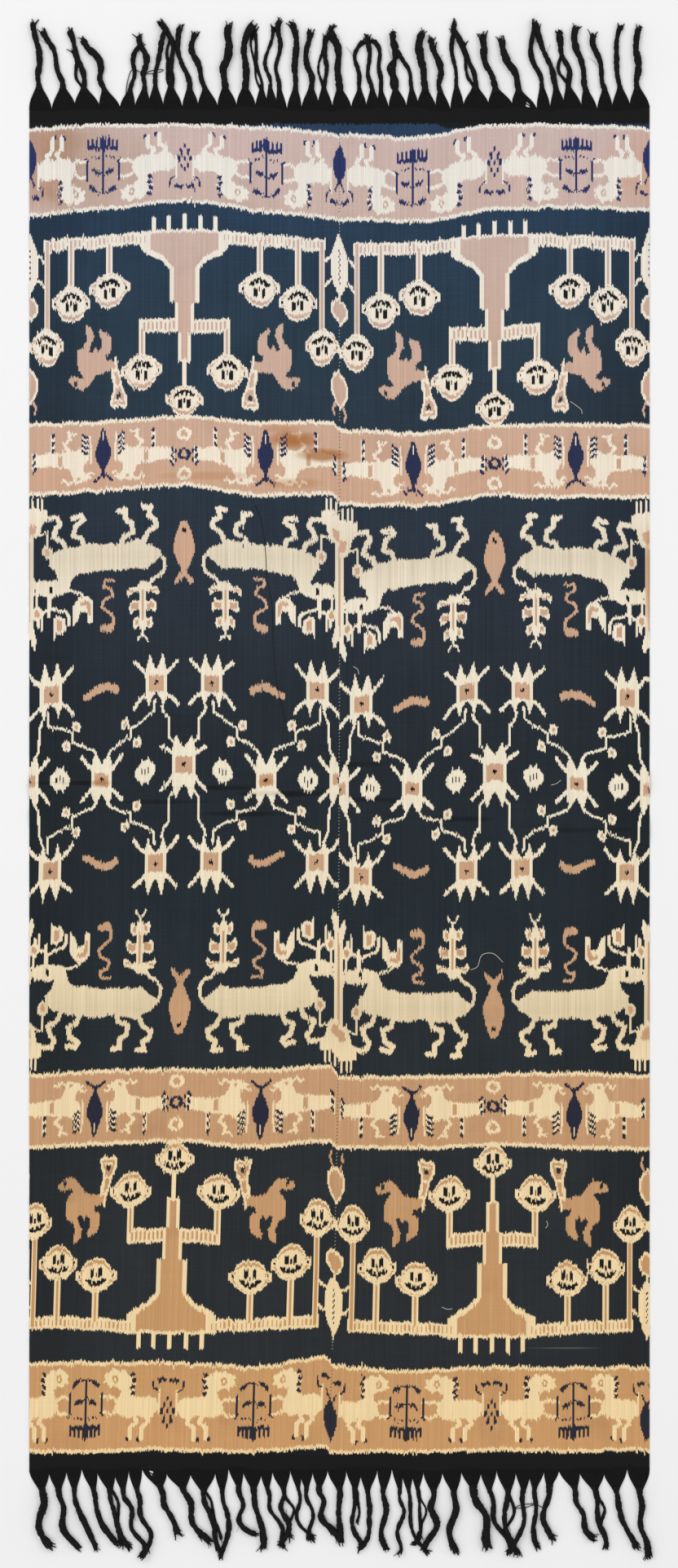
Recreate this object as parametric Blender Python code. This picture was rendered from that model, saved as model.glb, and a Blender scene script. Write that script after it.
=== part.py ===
"""Ikat woven cloth: two long panels sewn edge to edge, with a fringe of twisted locks at each end.

Metres, +Z up. The cloth lies face up on the ground plane with its length along Y, its middle at
X = 0, Y = 0, and its underside at Z = 0.
"""

import math
import random
from collections import namedtuple

import bmesh
import bpy
from mathutils import Vector

# Driving dimensions
CLOTH_WIDTH = 1.150
WOVEN_LENGTH = 2.525
CLOTH_THICKNESS = 0.0016
HEADING_DEPTH = 0.027
LONGEST_LOCK = 0.165
PIECE_GAP = 0.0003

# Panel surface: evenly spaced columns, and rows that draw together at the middle crease
PANEL_COLUMNS = 16
COARSE_ROW = 0.060
FINE_ROW = 0.016
FINE_ZONE = 0.096
FLAT_END = 0.120

# Folds left by storage: a low ridge along a straight run, as high and as wide each way as stated
Fold = namedtuple("Fold", "x0 y0 x1 y1 height half_width")
FOLDS = {
    "middle_crease": Fold(-0.600, 0.004, 0.600, 0.010, 0.0042, 0.036),
    "left_droop": Fold(-0.600, -0.052, -0.210, -0.018, 0.0020, 0.034),
    "right_droop": Fold(0.120, -0.020, 0.600, -0.082, 0.0026, 0.038),
    "left_prefold": Fold(-0.288, 1.180, -0.306, -1.180, 0.0014, 0.055),
    "right_prefold": Fold(0.289, 1.180, 0.289, -1.180, 0.0014, 0.055),
    "seam_pucker": Fold(-0.004, 0.566, -0.078, 0.656, 0.0032, 0.042),
    "band_pucker": Fold(-0.135, 0.612, -0.030, 0.640, 0.0022, 0.040),
    "lengthwise_crease": Fold(-0.153, 0.520, -0.108, 0.117, 0.0020, 0.038),
}

# The seam drifts towards the left panel at the lower end
SeamStation = namedtuple("SeamStation", "y x")
SEAM_LINE = [
    SeamStation(-1.2625, -0.0200),
    SeamStation(-0.9000, -0.0090),
    SeamStation(-0.5000, -0.0020),
    SeamStation(0.2000, 0.0000),
    SeamStation(1.2625, 0.0000),
]

# Fringe locks in bunches that lean alike, from the left selvedge to the right one
Bunch = namedtuple("Bunch", "end_x locks lean_start lean_end reach_start reach_end")
BUNCHES = [
    Bunch(-0.407, 4, -0.014, -0.040, 0.165, 0.140),
    Bunch(-0.326, 3, 0.036, 0.014, 0.132, 0.158),
    Bunch(-0.225, 3, -0.030, -0.042, 0.162, 0.146),
    Bunch(-0.156, 2, -0.006, -0.004, 0.164, 0.158),
    Bunch(-0.097, 3, -0.012, -0.018, 0.150, 0.163),
    Bunch(0.022, 4, 0.006, -0.014, 0.158, 0.146),
    Bunch(0.145, 5, -0.006, -0.024, 0.134, 0.148),
    Bunch(0.206, 2, -0.022, -0.018, 0.148, 0.136),
    Bunch(0.230, 1, 0.010, 0.010, 0.165, 0.165),
    Bunch(0.366, 3, -0.050, -0.046, 0.158, 0.130),
    Bunch(0.478, 4, -0.030, -0.036, 0.164, 0.148),
    Bunch(0.575, 3, -0.022, -0.012, 0.150, 0.156),
]

# Cross sections along a lock: share of its reach, then width as shares of the root and the cord
LockSection = namedtuple("LockSection", "along root_share cord_share height")
LOCK_SECTIONS = [
    LockSection(0.06, 0.80, 0.00, 0.0021),
    LockSection(0.14, 0.46, 0.10, 0.0032),
    LockSection(0.24, 0.10, 0.80, 0.0044),
    LockSection(0.48, 0.00, 1.00, 0.0046),
    LockSection(0.76, 0.00, 1.00, 0.0046),
    LockSection(1.00, 0.00, 1.25, 0.0034),
]
CORD_SHARE_OF_ROOT = 0.42
CORD_WIDTH_MIN = 0.0085
CORD_WIDTH_MAX = 0.0135
TIP_SPACING = 0.0185
ROOT_JITTER = 0.16
NOTCH_WANDER = 0.0045
LOCK_SWAY = 0.0035
FRINGE_SEED = 11

Lock = namedtuple("Lock", "left right left_notch right_notch tip_x reach cord_width sway")

# Finishes
Finish = namedtuple("Finish", "colour roughness")
CLOTH_FINISH = Finish((0.030, 0.052, 0.085), 0.92)
FRINGE_FINISH = Finish((0.010, 0.009, 0.010), 0.95)


def clear_scene():
    """Remove every object that the file starts with."""
    for obj in list(bpy.data.objects):
        bpy.data.objects.remove(obj, do_unlink=True)


def make_collection(name):
    """Link a collection of this name to the scene."""
    collection = bpy.data.collections.new(name)
    bpy.context.scene.collection.children.link(collection)
    return collection


def make_material(name, finish):
    """Plain fabric with the finish's colour and roughness."""
    material = bpy.data.materials.new(name)
    material.use_nodes = True
    shader = material.node_tree.nodes["Principled BSDF"]
    shader.inputs["Base Color"].default_value = (*finish.colour, 1.0)
    shader.inputs["Roughness"].default_value = finish.roughness
    shader.inputs["Metallic"].default_value = 0.0
    return material


def add_object(name, bm, finish, collection):
    """Turn the bmesh into a named object with its own material."""
    mesh = bpy.data.meshes.new(name)
    bm.to_mesh(mesh)
    bm.free()
    mesh.materials.append(make_material(name, finish))
    obj = bpy.data.objects.new(name, mesh)
    collection.objects.link(obj)
    return obj


def seam_x(y):
    """Where the seam lies across the cloth at this distance along it."""
    for low, high in zip(SEAM_LINE, SEAM_LINE[1:]):
        if y <= high.y:
            share = max(0.0, (y - low.y) / (high.y - low.y))
            return low.x + (high.x - low.x) * share
    return SEAM_LINE[-1].x


def distance_to_fold(x, y, fold):
    """Distance in plan from a point to the fold's run."""
    run = Vector((fold.x1 - fold.x0, fold.y1 - fold.y0))
    offset = Vector((x - fold.x0, y - fold.y0))
    along = min(1.0, max(0.0, offset.dot(run) / run.length_squared))
    return (offset - run * along).length


def lift(x, y):
    """Height of the cloth's underside above the ground: the folds raise it, its ends lie flat."""
    height = 0.0
    for fold in FOLDS.values():
        distance = distance_to_fold(x, y, fold)
        if distance < fold.half_width:
            height += fold.height * 0.5 * (1.0 + math.cos(math.pi * distance / fold.half_width))
    room = panel_end() - abs(y)
    return height * min(1.0, max(0.0, room / FLAT_END))


def panel_end():
    """Half the length of a panel, up to the strip that carries the fringe."""
    return WOVEN_LENGTH / 2 - HEADING_DEPTH - PIECE_GAP


def row_stations():
    """Distances along the cloth of the panel's rows, closer together at the middle crease."""
    fine_count = round(2 * FINE_ZONE / FINE_ROW)
    fine = [-FINE_ZONE + 2 * FINE_ZONE * i / fine_count for i in range(fine_count + 1)]
    coarse_count = round((panel_end() - FINE_ZONE) / COARSE_ROW)
    step = (panel_end() - FINE_ZONE) / coarse_count
    outer = [FINE_ZONE + step * (i + 1) for i in range(coarse_count)]
    return [-y for y in reversed(outer)] + fine + outer


def thicken(bm):
    """Close the sheet into a solid as thick as the cloth, straight up from its underside."""
    raised = bmesh.ops.extrude_face_region(bm, geom=bm.faces[:])
    top = [item for item in raised["geom"] if isinstance(item, bmesh.types.BMVert)]
    bmesh.ops.translate(bm, verts=top, vec=(0.0, 0.0, CLOTH_THICKNESS))
    bmesh.ops.recalc_face_normals(bm, faces=bm.faces[:])


def build_panel(name, side, collection):
    """One woven panel: side is -1 for the left one and 1 for the right one."""
    rows = row_stations()
    bm = bmesh.new()
    bmesh.ops.create_grid(bm, x_segments=PANEL_COLUMNS, y_segments=len(rows) - 1, size=0.5)
    for vert in bm.verts:
        y = rows[round((vert.co.y + 0.5) * (len(rows) - 1))]
        selvedge = side * CLOTH_WIDTH / 2
        sewn_edge = seam_x(y) + side * PIECE_GAP / 2
        left = min(selvedge, sewn_edge)
        right = max(selvedge, sewn_edge)
        x = left + (right - left) * (vert.co.x + 0.5)
        vert.co = (x, y, lift(x, y))
    thicken(bm)
    return add_object(name, bm, CLOTH_FINISH, collection)


def spread_tips(tips):
    """Push neighbouring tips apart until none is closer than TIP_SPACING."""
    limit = CLOTH_WIDTH / 2 - TIP_SPACING / 2
    for _ in range(60):
        for i in range(len(tips) - 1):
            short = TIP_SPACING - (tips[i + 1] - tips[i])
            if short > 0:
                tips[i] -= short / 2
                tips[i + 1] += short / 2
        tips = [min(limit, max(-limit, tip)) for tip in tips]
    return tips


def plan_locks():
    """Root, tip, reach and cord width of each lock, from one selvedge to the other."""
    rng = random.Random(FRINGE_SEED)
    roots = [-CLOTH_WIDTH / 2]
    leans = []
    reaches = []
    start_x = roots[0]
    for bunch in BUNCHES:
        pitch = (bunch.end_x - start_x) / bunch.locks
        for i in range(bunch.locks):
            share = i / max(1, bunch.locks - 1)
            last = i == bunch.locks - 1
            jitter = 0.0 if last else rng.uniform(-ROOT_JITTER, ROOT_JITTER) * pitch
            roots.append(start_x + pitch * (i + 1) + jitter)
            leans.append(bunch.lean_start + (bunch.lean_end - bunch.lean_start) * share)
            reaches.append(bunch.reach_start + (bunch.reach_end - bunch.reach_start) * share)
        start_x = bunch.end_x
    centres = [(a + b) / 2 for a, b in zip(roots, roots[1:])]
    tips = spread_tips([centre + lean for centre, lean in zip(centres, leans)])
    notches = [rng.uniform(-NOTCH_WANDER, NOTCH_WANDER) for _ in roots]
    locks = []
    for i, tip in enumerate(tips):
        cord = (roots[i + 1] - roots[i]) * CORD_SHARE_OF_ROOT
        cord = min(CORD_WIDTH_MAX, max(CORD_WIDTH_MIN, cord))
        sway = LOCK_SWAY * math.sin(1.7 * i)
        reach = min(LONGEST_LOCK, reaches[i])
        locks.append(Lock(roots[i], roots[i + 1], notches[i], notches[i + 1], tip, reach, cord, sway))
    return locks


def lock_centre(lock, along):
    """Middle of the lock at a share of its reach, in plan, measured from the notch line."""
    root_x = (lock.left + lock.right) / 2
    ease = along * along * (3.0 - 2.0 * along)
    bend = 0.5 * along + 0.5 * ease
    x = root_x + (lock.tip_x - root_x) * bend + lock.sway * math.sin(2.0 * math.pi * along)
    return Vector((x, lock.reach * along, 0.0))


def add_lock(bm, face, lock):
    """Draw one lock out of its root face, section by section, resting flat on the ground."""
    centre = face.calc_center_median()
    across = Vector((1.0, 0.0, 0.0))
    height = CLOTH_THICKNESS
    for section in LOCK_SECTIONS:
        ahead = lock_centre(lock, min(1.0, section.along + 0.02))
        behind = lock_centre(lock, section.along - 0.02)
        heading = (ahead - behind).normalized()
        next_centre = lock_centre(lock, section.along)
        next_across = Vector((heading.y, -heading.x, 0.0))
        width = section.root_share * (lock.right - lock.left) + section.cord_share * lock.cord_width
        face = bmesh.ops.extrude_discrete_faces(bm, faces=[face])["faces"][0]
        for vert in face.verts:
            side = 0.5 if (vert.co - centre).dot(across) > 0 else -0.5
            top = section.height if vert.co.z > height / 2 else 0.0
            vert.co = next_centre + next_across * width * side + Vector((0.0, 0.0, top))
        centre, across, height = next_centre, next_across, section.height


def build_fringe(name, end, collection):
    """The strip at one end of the cloth with its locks: end is 1 for the top and -1 for the bottom."""
    locks = plan_locks()
    roots = [lock.left for lock in locks] + [locks[-1].right]
    notches = [lock.left_notch for lock in locks] + [locks[-1].right_notch]
    bm = bmesh.new()
    bmesh.ops.create_grid(bm, x_segments=len(locks), y_segments=1, size=0.5)
    for vert in bm.verts:
        i = round((vert.co.x + 0.5) * len(locks))
        y = notches[i] if vert.co.y > 0 else -HEADING_DEPTH
        vert.co = (roots[i], y, 0.0)
    thicken(bm)
    fronts = [face for face in bm.faces if face.normal.y > 0.5]
    fronts.sort(key=lambda face: face.calc_center_median().x)
    for face, lock in zip(fronts, locks):
        add_lock(bm, face, lock)
    obj = add_object(name, bm, FRINGE_FINISH, collection)
    obj.location = (0.0, end * WOVEN_LENGTH / 2, 0.0)
    obj.rotation_euler = (0.0, 0.0, 0.0 if end > 0 else math.pi)
    return obj


def main():
    """Build the two panels and the two fringes."""
    clear_scene()
    collection = make_collection("ikat_woven_cloth")
    build_panel("panel_left", -1, collection)
    build_panel("panel_right", 1, collection)
    build_fringe("fringe_top", 1, collection)
    build_fringe("fringe_bottom", -1, collection)
    bpy.context.view_layer.update()


main()
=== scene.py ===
import math
import random
from collections import namedtuple

import bpy
import numpy as np
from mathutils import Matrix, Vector


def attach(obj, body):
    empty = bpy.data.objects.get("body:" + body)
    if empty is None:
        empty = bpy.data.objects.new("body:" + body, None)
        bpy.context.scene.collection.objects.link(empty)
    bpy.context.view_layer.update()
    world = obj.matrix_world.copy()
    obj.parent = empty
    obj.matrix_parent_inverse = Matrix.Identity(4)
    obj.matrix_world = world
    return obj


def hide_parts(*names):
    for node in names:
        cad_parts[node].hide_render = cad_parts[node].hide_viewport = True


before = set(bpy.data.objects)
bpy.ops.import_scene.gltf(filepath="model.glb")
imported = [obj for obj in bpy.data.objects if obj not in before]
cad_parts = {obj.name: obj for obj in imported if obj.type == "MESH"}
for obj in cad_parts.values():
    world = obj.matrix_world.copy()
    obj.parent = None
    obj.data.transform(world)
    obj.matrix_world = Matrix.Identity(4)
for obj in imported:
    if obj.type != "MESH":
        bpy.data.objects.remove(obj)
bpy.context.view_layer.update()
print("frame loaded")

# The cloth as it lies, in metres: its length runs along Y, its middle is at the origin
cloth = {
    "width": 1.150,
    "wovenLength": 2.525,
    "thickness": 0.0016,
    "headingDepth": 0.027,
    "pieceGap": 0.0003,  # between the solids
    "sewnGap": 0.00004,  # between the selvedges once they are sewn
    "flatEnd": 0.120,  # the folds fade out over this stretch before each end strip
    "deepestCrease": 0.0010,
    "underside": 0.0002,  # height of the lowest edges
}
panelEnd = cloth["wovenLength"] / 2 - cloth["headingDepth"] - cloth["pieceGap"]
tie = 0.001511  # one step of the dyer's chart, across the warp or along it
chartMiddle = 7.5  # ties from Y = 0 up to the chart's middle line

# Where the seam and each panel's middle thread lie: (y, x), from the lower end up
seamLine = [(-1.2625, -0.0200), (-0.9000, -0.0090), (-0.5000, -0.0020), (0.2000, 0.0000), (1.2625, 0.0000)]
middleThreads = {
    "panel_left": [(-1.2350, -0.3211), (-1.1370, -0.3188), (-0.8500, -0.3105), (-0.5855, -0.3030),
                   (-0.3966, -0.2962), (-0.1398, -0.2898), (0.0113, -0.2886), (1.2625, -0.2866)],
    "panel_right": [(-1.2350, 0.2818), (0.0000, 0.2879), (1.2625, 0.2875)],
}

# Storage folds, as low ridges along straight runs: (x0, y0, x1, y1, height, half width)
folds = {
    "middleCrease": (-0.600, 0.004, 0.600, 0.010, 0.0042, 0.036),
    "leftDroop": (-0.600, -0.052, -0.210, -0.018, 0.0020, 0.034),
    "rightDroop": (0.120, -0.020, 0.600, -0.082, 0.0026, 0.038),
    "leftPrefold": (-0.288, 1.180, -0.306, -1.180, 0.0014, 0.055),
    "rightPrefold": (0.289, 1.180, 0.289, -1.180, 0.0014, 0.055),
    "seamPucker": (-0.004, 0.566, -0.078, 0.656, 0.0032, 0.042),
    "bandPucker": (-0.135, 0.612, -0.030, 0.640, 0.0022, 0.040),
    "lengthwiseCrease": (-0.153, 0.520, -0.108, 0.117, 0.0020, 0.038),
}

# Finer creases, pressed in or raised beside the folds
creases = {
    "leftOfMiddle": (-0.575, 0.020, -0.330, 0.014, -0.0012, 0.012),
    "underStars": (-0.250, -0.022, -0.020, -0.006, -0.0012, 0.013),
    "leftSlant": (-0.420, -0.010, -0.170, -0.075, 0.0010, 0.014),
    "rightSlant": (0.060, -0.060, 0.340, -0.030, -0.0010, 0.014),
    "rightFar": (0.330, 0.030, 0.575, 0.052, -0.0011, 0.012),
    "rightLow": (0.200, -0.105, 0.520, -0.130, 0.0009, 0.018),
    "bandFold": (-0.165, 0.640, -0.020, 0.575, -0.0012, 0.012),
    "seamDip": (-0.060, 0.700, -0.006, 0.600, -0.0010, 0.012),
    "treeSlant": (-0.100, 1.010, -0.030, 0.930, 0.0010, 0.014),
    "lowEdge": (0.340, -1.040, 0.490, -1.036, 0.0007, 0.010),
}
seamValley = {"halfWidth": 0.0045, "depth": 0.0007}  # where the stitches draw the selvedges down


def along(stations, y):  # x of a lengthwise line at y
    return np.interp(y, [s[0] for s in stations], [s[1] for s in stations])


def ridgesAt(runs, x, y):  # summed height of low ridges at points in plan
    height = np.zeros(np.broadcast(x, y).shape)
    for x0, y0, x1, y1, top, halfWidth in runs.values():
        runX, runY = x1 - x0, y1 - y0
        share = np.clip(((x - x0) * runX + (y - y0) * runY) / (runX ** 2 + runY ** 2), 0, 1)
        away = np.hypot(x - x0 - runX * share, y - y0 - runY * share)
        near = np.clip(away / halfWidth, 0, 1)
        height = height + top * 0.5 * (1 + np.cos(math.pi * near))
    room = np.clip((panelEnd - np.abs(y)) / cloth["flatEnd"], 0, 1)
    return height * room


def clothTop(x, y):  # height of the cloth's face above the floor
    rise = np.maximum(ridgesAt(folds, x, y) + ridgesAt(creases, x, y), -cloth["deepestCrease"])
    fromSeam = np.clip(np.abs(x - along(seamLine, y)) / seamValley["halfWidth"], 0, 1)
    return cloth["thickness"] + rise - seamValley["depth"] * (1 - fromSeam) ** 2


# The loom chart: a quarter of a panel, from its middle thread to its edge and from the cloth's middle to its
# end. Places on it are (u, v) in ties: u out from the middle thread, v from the cloth's middle to its end
chart = {
    "halfWidth": 190.0,  # ties from a panel's middle thread to its edge
    "bundles": 146,  # warp bundles tied together over that width
    "spareBundles": 6,  # past the outer edge, for where a panel lies skewed
    "length": 850.0,
    "grain": 0.25,  # ties between chart rows
    "innerBand": (354.5, 448),
    "endBand": (703, 817),
    "bandRim": 4.5,
}
nearU, farU = -1, 191  # just past the middle thread, and just past a panel's edge
ground, cream, salmon, accent, black = range(5)  # the dyes
bundleStep = chart["halfWidth"] / chart["bundles"]
bundleU = (np.arange(chart["bundles"]) + 0.5) * bundleStep
rowV = np.arange(0, chart["length"], chart["grain"])
dyeChart = np.zeros((len(rowV), len(bundleU)), np.int8)


def patchAround(points, margin):
    us, vs = [p[0] for p in points], [p[1] for p in points]
    columns = np.flatnonzero((bundleU >= min(us) - margin) & (bundleU <= max(us) + margin))
    rows = np.flatnonzero((rowV >= min(vs) - margin) & (rowV <= max(vs) + margin))
    return rows, columns


def paint(dye, points, margin, test):  # dyes the spots of the chart for which the test holds
    rows, columns = patchAround(points, margin)
    if len(rows) and len(columns):
        area = np.ix_(rows, columns)
        block = dyeChart[area]
        block[test(bundleU[columns][None, :], rowV[rows][:, None])] = dye
        dyeChart[area] = block


def inside(points, u, v):
    hit = np.zeros(np.broadcast(u, v).shape, bool)
    for (u0, v0), (u1, v1) in zip(points, points[1:] + points[:1]):
        if v0 != v1:
            hit ^= ((v0 > v) != (v1 > v)) & (u < (u1 - u0) * (v - v0) / (v1 - v0) + u0)
    return hit


def awayFrom(points, u, v):  # distance to a run of straight stretches
    best = np.full(np.broadcast(u, v).shape, 1e9)
    for (u0, v0), (u1, v1) in zip(points, points[1:]):
        du, dv = u1 - u0, v1 - v0
        share = np.clip(((u - u0) * du + (v - v0) * dv) / max(du * du + dv * dv, 1e-9), 0, 1)
        best = np.minimum(best, np.hypot(u - u0 - du * share, v - v0 - dv * share))
    return best


def fill(dye, points):
    paint(dye, points, 0.0, lambda u, v: inside(points, u, v))


def line(dye, width, *points):
    paint(dye, points, width, lambda u, v: awayFrom(points, u, v) <= width / 2)


def bar(dye, u0, v0, u1, v1):
    fill(dye, [(u0, v0), (u1, v0), (u1, v1), (u0, v1)])


def oval(dye, u, v, halfU, halfV):
    corners = [(u - halfU, v - halfV), (u + halfU, v + halfV)]
    paint(dye, corners, 0.0, lambda a, b: ((a - u) / halfU) ** 2 + ((b - v) / halfV) ** 2 <= 1)


def placed(points, u, v, flip=1):  # an outline given about its own middle, moved to (u, v)
    return [(u + flip * a, v + b) for a, b in points]


def facing(edge, squeeze=1):  # ways to draw an outline: as given, and turned to face itself from an edge
    return (lambda points: list(points)), (lambda points: [(edge - squeeze * a, b) for a, b in points])


def band(v0, v1):  # a salmon band right across, edged with undyed ties
    rim = chart["bandRim"]
    bar(cream, nearU, v0, farU, v1)
    bar(salmon, nearU, v0 + rim, farU, v1 - rim)


def hatchedArm(u0, v0, u1, v1, depth, pitch=5.0):  # a branch of undyed ties with salmon hatches
    fill(cream, [(u0, v0), (u1, v1), (u1, v1 + depth), (u0, v0 + depth)])
    halfHatch, inset = 0.9, 3.4
    for i in range(1, int(abs(u1 - u0) / pitch)):
        u = u0 + (u1 - u0) * i * pitch / abs(u1 - u0)
        v = v0 + (v1 - v0) * (u - u0) / (u1 - u0)
        bar(salmon, u - halfHatch, v + inset, u + halfHatch, v + depth - inset)


def stem(u, v0, v1, width=7.6, halfCore=1.35):  # two undyed lines with a salmon core
    bar(cream, u - width / 2, v0, u + width / 2, v1)
    bar(salmon, u - halfCore, v0, u + halfCore, v1)


# A plain round head on a stem: its skull and face in shares of its width and height, the rest in ties
headShape = {
    "skull": [(0.00, -0.54), (0.20, -0.46), (0.33, -0.28), (0.38, -0.14), (0.50, -0.10), (0.50, 0.13),
              (0.40, 0.22), (0.27, 0.38), (0.12, 0.47), (0.00, 0.50)],
    "inside": (0.90, 0.88),
    "face": (0.03, 0.36, 0.385),  # how low its middle lies, half width, half height
    "ear": (0.36, -3.2, 0.46, 4.5),  # inner side, top, outer side, foot; the sides in shares of the width
    "earHole": (0.395, -1.6, 0.435, 2.6),
    "eye": (5.0, 2.2, -9.5, 1.5),  # place, half width, top and foot
    "nose": (1.0, -3.5, 2.6),
    "smile": [(-11.5, 5.0), (-7.0, 9.8), (0.0, 11.8), (7.0, 9.8), (11.5, 5.0)],
    "smileWidth": 3.4,
    "teeth": [(-7.8, 6.4), (-2.7, 8.6), (2.7, 8.6), (7.8, 6.4)],
    "tooth": (1.7, 2.4),
}


def head(u, v, width, height):
    skull = headShape["skull"]
    skull = skull + [(-a, b) for a, b in reversed(skull[1:-1])]
    insideX, insideY = headShape["inside"]
    fill(cream, placed([(a * width, b * height) for a, b in skull], u, v))
    fill(salmon, placed([(a * width * insideX, b * height * insideY) for a, b in skull], u, v))
    low, halfU, halfV = headShape["face"]
    oval(cream, u, v + height * low, width * halfU, height * halfV)
    eyeU, halfEye, eyeTop, eyeFoot = headShape["eye"]
    for side in (-1, 1):
        for dye, (a, top, b, foot) in ((cream, headShape["ear"]), (black, headShape["earHole"])):
            bar(dye, u + side * width * a, v + top, u + side * width * b, v + foot)
        bar(black, u + side * eyeU - halfEye, v + eyeTop, u + side * eyeU + halfEye, v + eyeFoot)
    halfNose, noseTop, noseFoot = headShape["nose"]
    bar(black, u - halfNose, v + noseTop, u + halfNose, v + noseFoot)
    line(black, headShape["smileWidth"], *placed(headShape["smile"], u, v))
    halfTooth, deep = headShape["tooth"]
    for a, b in headShape["teeth"]:
        bar(black, u + a - halfTooth, v + b - deep, u + a + halfTooth, v + b + deep)


def horses():  # the pair that face a shrub, and the shrub between them
    for turn in facing(189, 0.85):
        body = [(11, 758), (14, 751), (21, 748), (34, 749), (45, 748), (46, 736), (44, 724), (49, 717),
                (57, 722), (58, 745), (63, 751), (65, 759), (63, 767), (56, 773), (46, 774), (39, 772),
                (31, 775), (20, 776), (13, 769)]
        face = [(48, 720), (54, 712), (60, 715), (66, 711), (72, 716), (79, 718), (77, 724), (80, 729),
                (73, 731), (71, 736), (64, 734), (59, 739), (54, 735)]
        fill(cream, turn(body))
        fill(cream, turn(face))
        eye = turn([(65, 725)])[0]
        oval(salmon, *eye, 3.4, 5.2)
        oval(cream, *eye, 1.2, 2.6)
        line(cream, 4.0, *turn([(62, 752), (69, 747.5), (81, 747.5)]))
        line(cream, 4.0, *turn([(62, 764), (69, 769), (81, 767)]))
        line(cream, 5.0, *turn([(27, 772), (23, 780), (31, 787), (31.6, 802)]))
        line(cream, 5.0, *turn([(41, 772), (37, 781), (45, 785), (45, 800)]))
        line(cream, 3.0, *turn([(10.7, 769), (10.7, 739)]))
        line(accent, 2.4, *turn([(12.0, 741), (17.6, 737.5), (18.0, 728.5)]))
        fill(accent, turn([(13, 725), (5, 723), (0.5, 726), (2, 729), (7, 728.5), (9.5, 731), (13, 729)]))
        hoof = [(-2.4, 3.5), (0.8, 3.5), (2.2, -2.6), (-1.2, -2.6)]
        for a, b in ((36.0, 802), (49.0, 800)):
            fill(accent, turn(placed(hoof, a, b)))
        tuft = [(-3, -2.6), (1, -3.4), (3.6, 1), (1.4, 3), (-2.4, 1.4)]
        for a, b in ((43.5, 719), (41.5, 727), (43.5, 735), (42.5, 743)):  # the mane
            fill(accent, turn(placed(tuft, a, b)))
            line(cream, 1.6, *turn([(a - 3, b + 4.2), (a + 4, b + 4.6)]))
    shrub = 100.5
    bar(accent, shrub - 1.4, 724, shrub + 1.4, 801)
    bar(accent, shrub - 19, 782, shrub + 19, 787.5)
    for i in range(8):
        bar(accent, shrub - 19 + i * 5.05, 784, shrub - 16.2 + i * 5.05, 799 - abs(3.5 - i) * 0.8)
    for side in (-1, 1):
        bar(accent, shrub + side * 18.4, 741, shrub + side * 20.8, 768)
        line(accent, 2.2, *placed([(18, 768), (22, 771)], shrub, 0, side))
        line(accent, 2.2, *placed([(1, 726), (7, 726), (12, 728)], shrub, 0, side))
        fill(accent, placed([(7, 725), (12, 726), (17, 731), (16, 736), (11, 733), (7, 729)], shrub, 0, side))
        line(accent, 2.4, *placed([(1, 750), (6, 751)], shrub, 0, side))
        fill(accent, placed([(3, 750), (8, 749), (14, 754), (13, 758), (8, 756), (4, 755)], shrub, 0, side))
        for a in (4.5, 9, 13.5):
            bar(accent, shrub + side * a - 1.1, 772 - a * 0.1, shrub + side * a + 1.1, 775 - a * 0.1)


def endBand():  # with a cluster of dashes on the middle thread and half a lozenge on the edge
    bar(black, nearU, chart["endBand"][1], farU, chart["length"])
    band(*chart["endBand"])
    horses()
    dashes = ((0, 747, 6), (4.2, 754, 7), (0, 763, 6), (7.4, 763, 8), (3.8, 771, 6), (4.6, 777, 5),
              (0, 782, 6))
    for a, b, depth in dashes:
        bar(accent, a - 1.6, b, a + 1.6, b + depth)
    fill(accent, [(farU, 750), (188.5, 753), (184, 762), (181.8, 772), (183, 786), (187, 797), (farU, 805)])
    line(accent, 2.4, (190, 754), (186, 747), (185, 742))


def skullTree():  # trunk, hatched branches and heads on stems
    bar(cream, nearU, 486, 3.2, 517)
    for halfWidth, v0, v1 in ((7.4, 514, 553), (12.0, 551, 590), (17.8, 588, 631)):
        bar(cream, nearU, v0, halfWidth, v1)
    flare = [(nearU, 628), (17.8, 628), (29, 640), (41, 646), (54, 654), (54, 677), (nearU, 677)]
    fill(cream, flare)
    hatchedArm(44, 661, 172.5, 655, 15)
    hatchedArm(8, 550, 56.3, 552, 17, 5.2)
    for halfWidth, v0, v1 in ((4.2, 517, 553), (7.6, 550, 590), (13.2, 588, 632)):
        bar(salmon, nearU, v0, halfWidth, v1)
    fill(salmon, [(nearU, 630), (13.2, 630), (26, 645), (41.5, 655), (41.5, 674), (nearU, 674)])
    for a in (0, 19, 38):
        bar(cream, a - 2.5, 675, a + 2.5, 691)
    for u, v0, v1 in ((52.5, 524, 556), (92, 624, 664), (139, 610, 662), (168.5, 556, 668)):
        stem(u, v0, v1)
    for u, v, width, height in ((0, 467, 46, 38), (52.5, 504.5, 50, 43), (92, 607, 50, 42),
                                (139, 591, 47, 44), (169, 539, 42, 45)):
        head(u, v, width, height)


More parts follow.
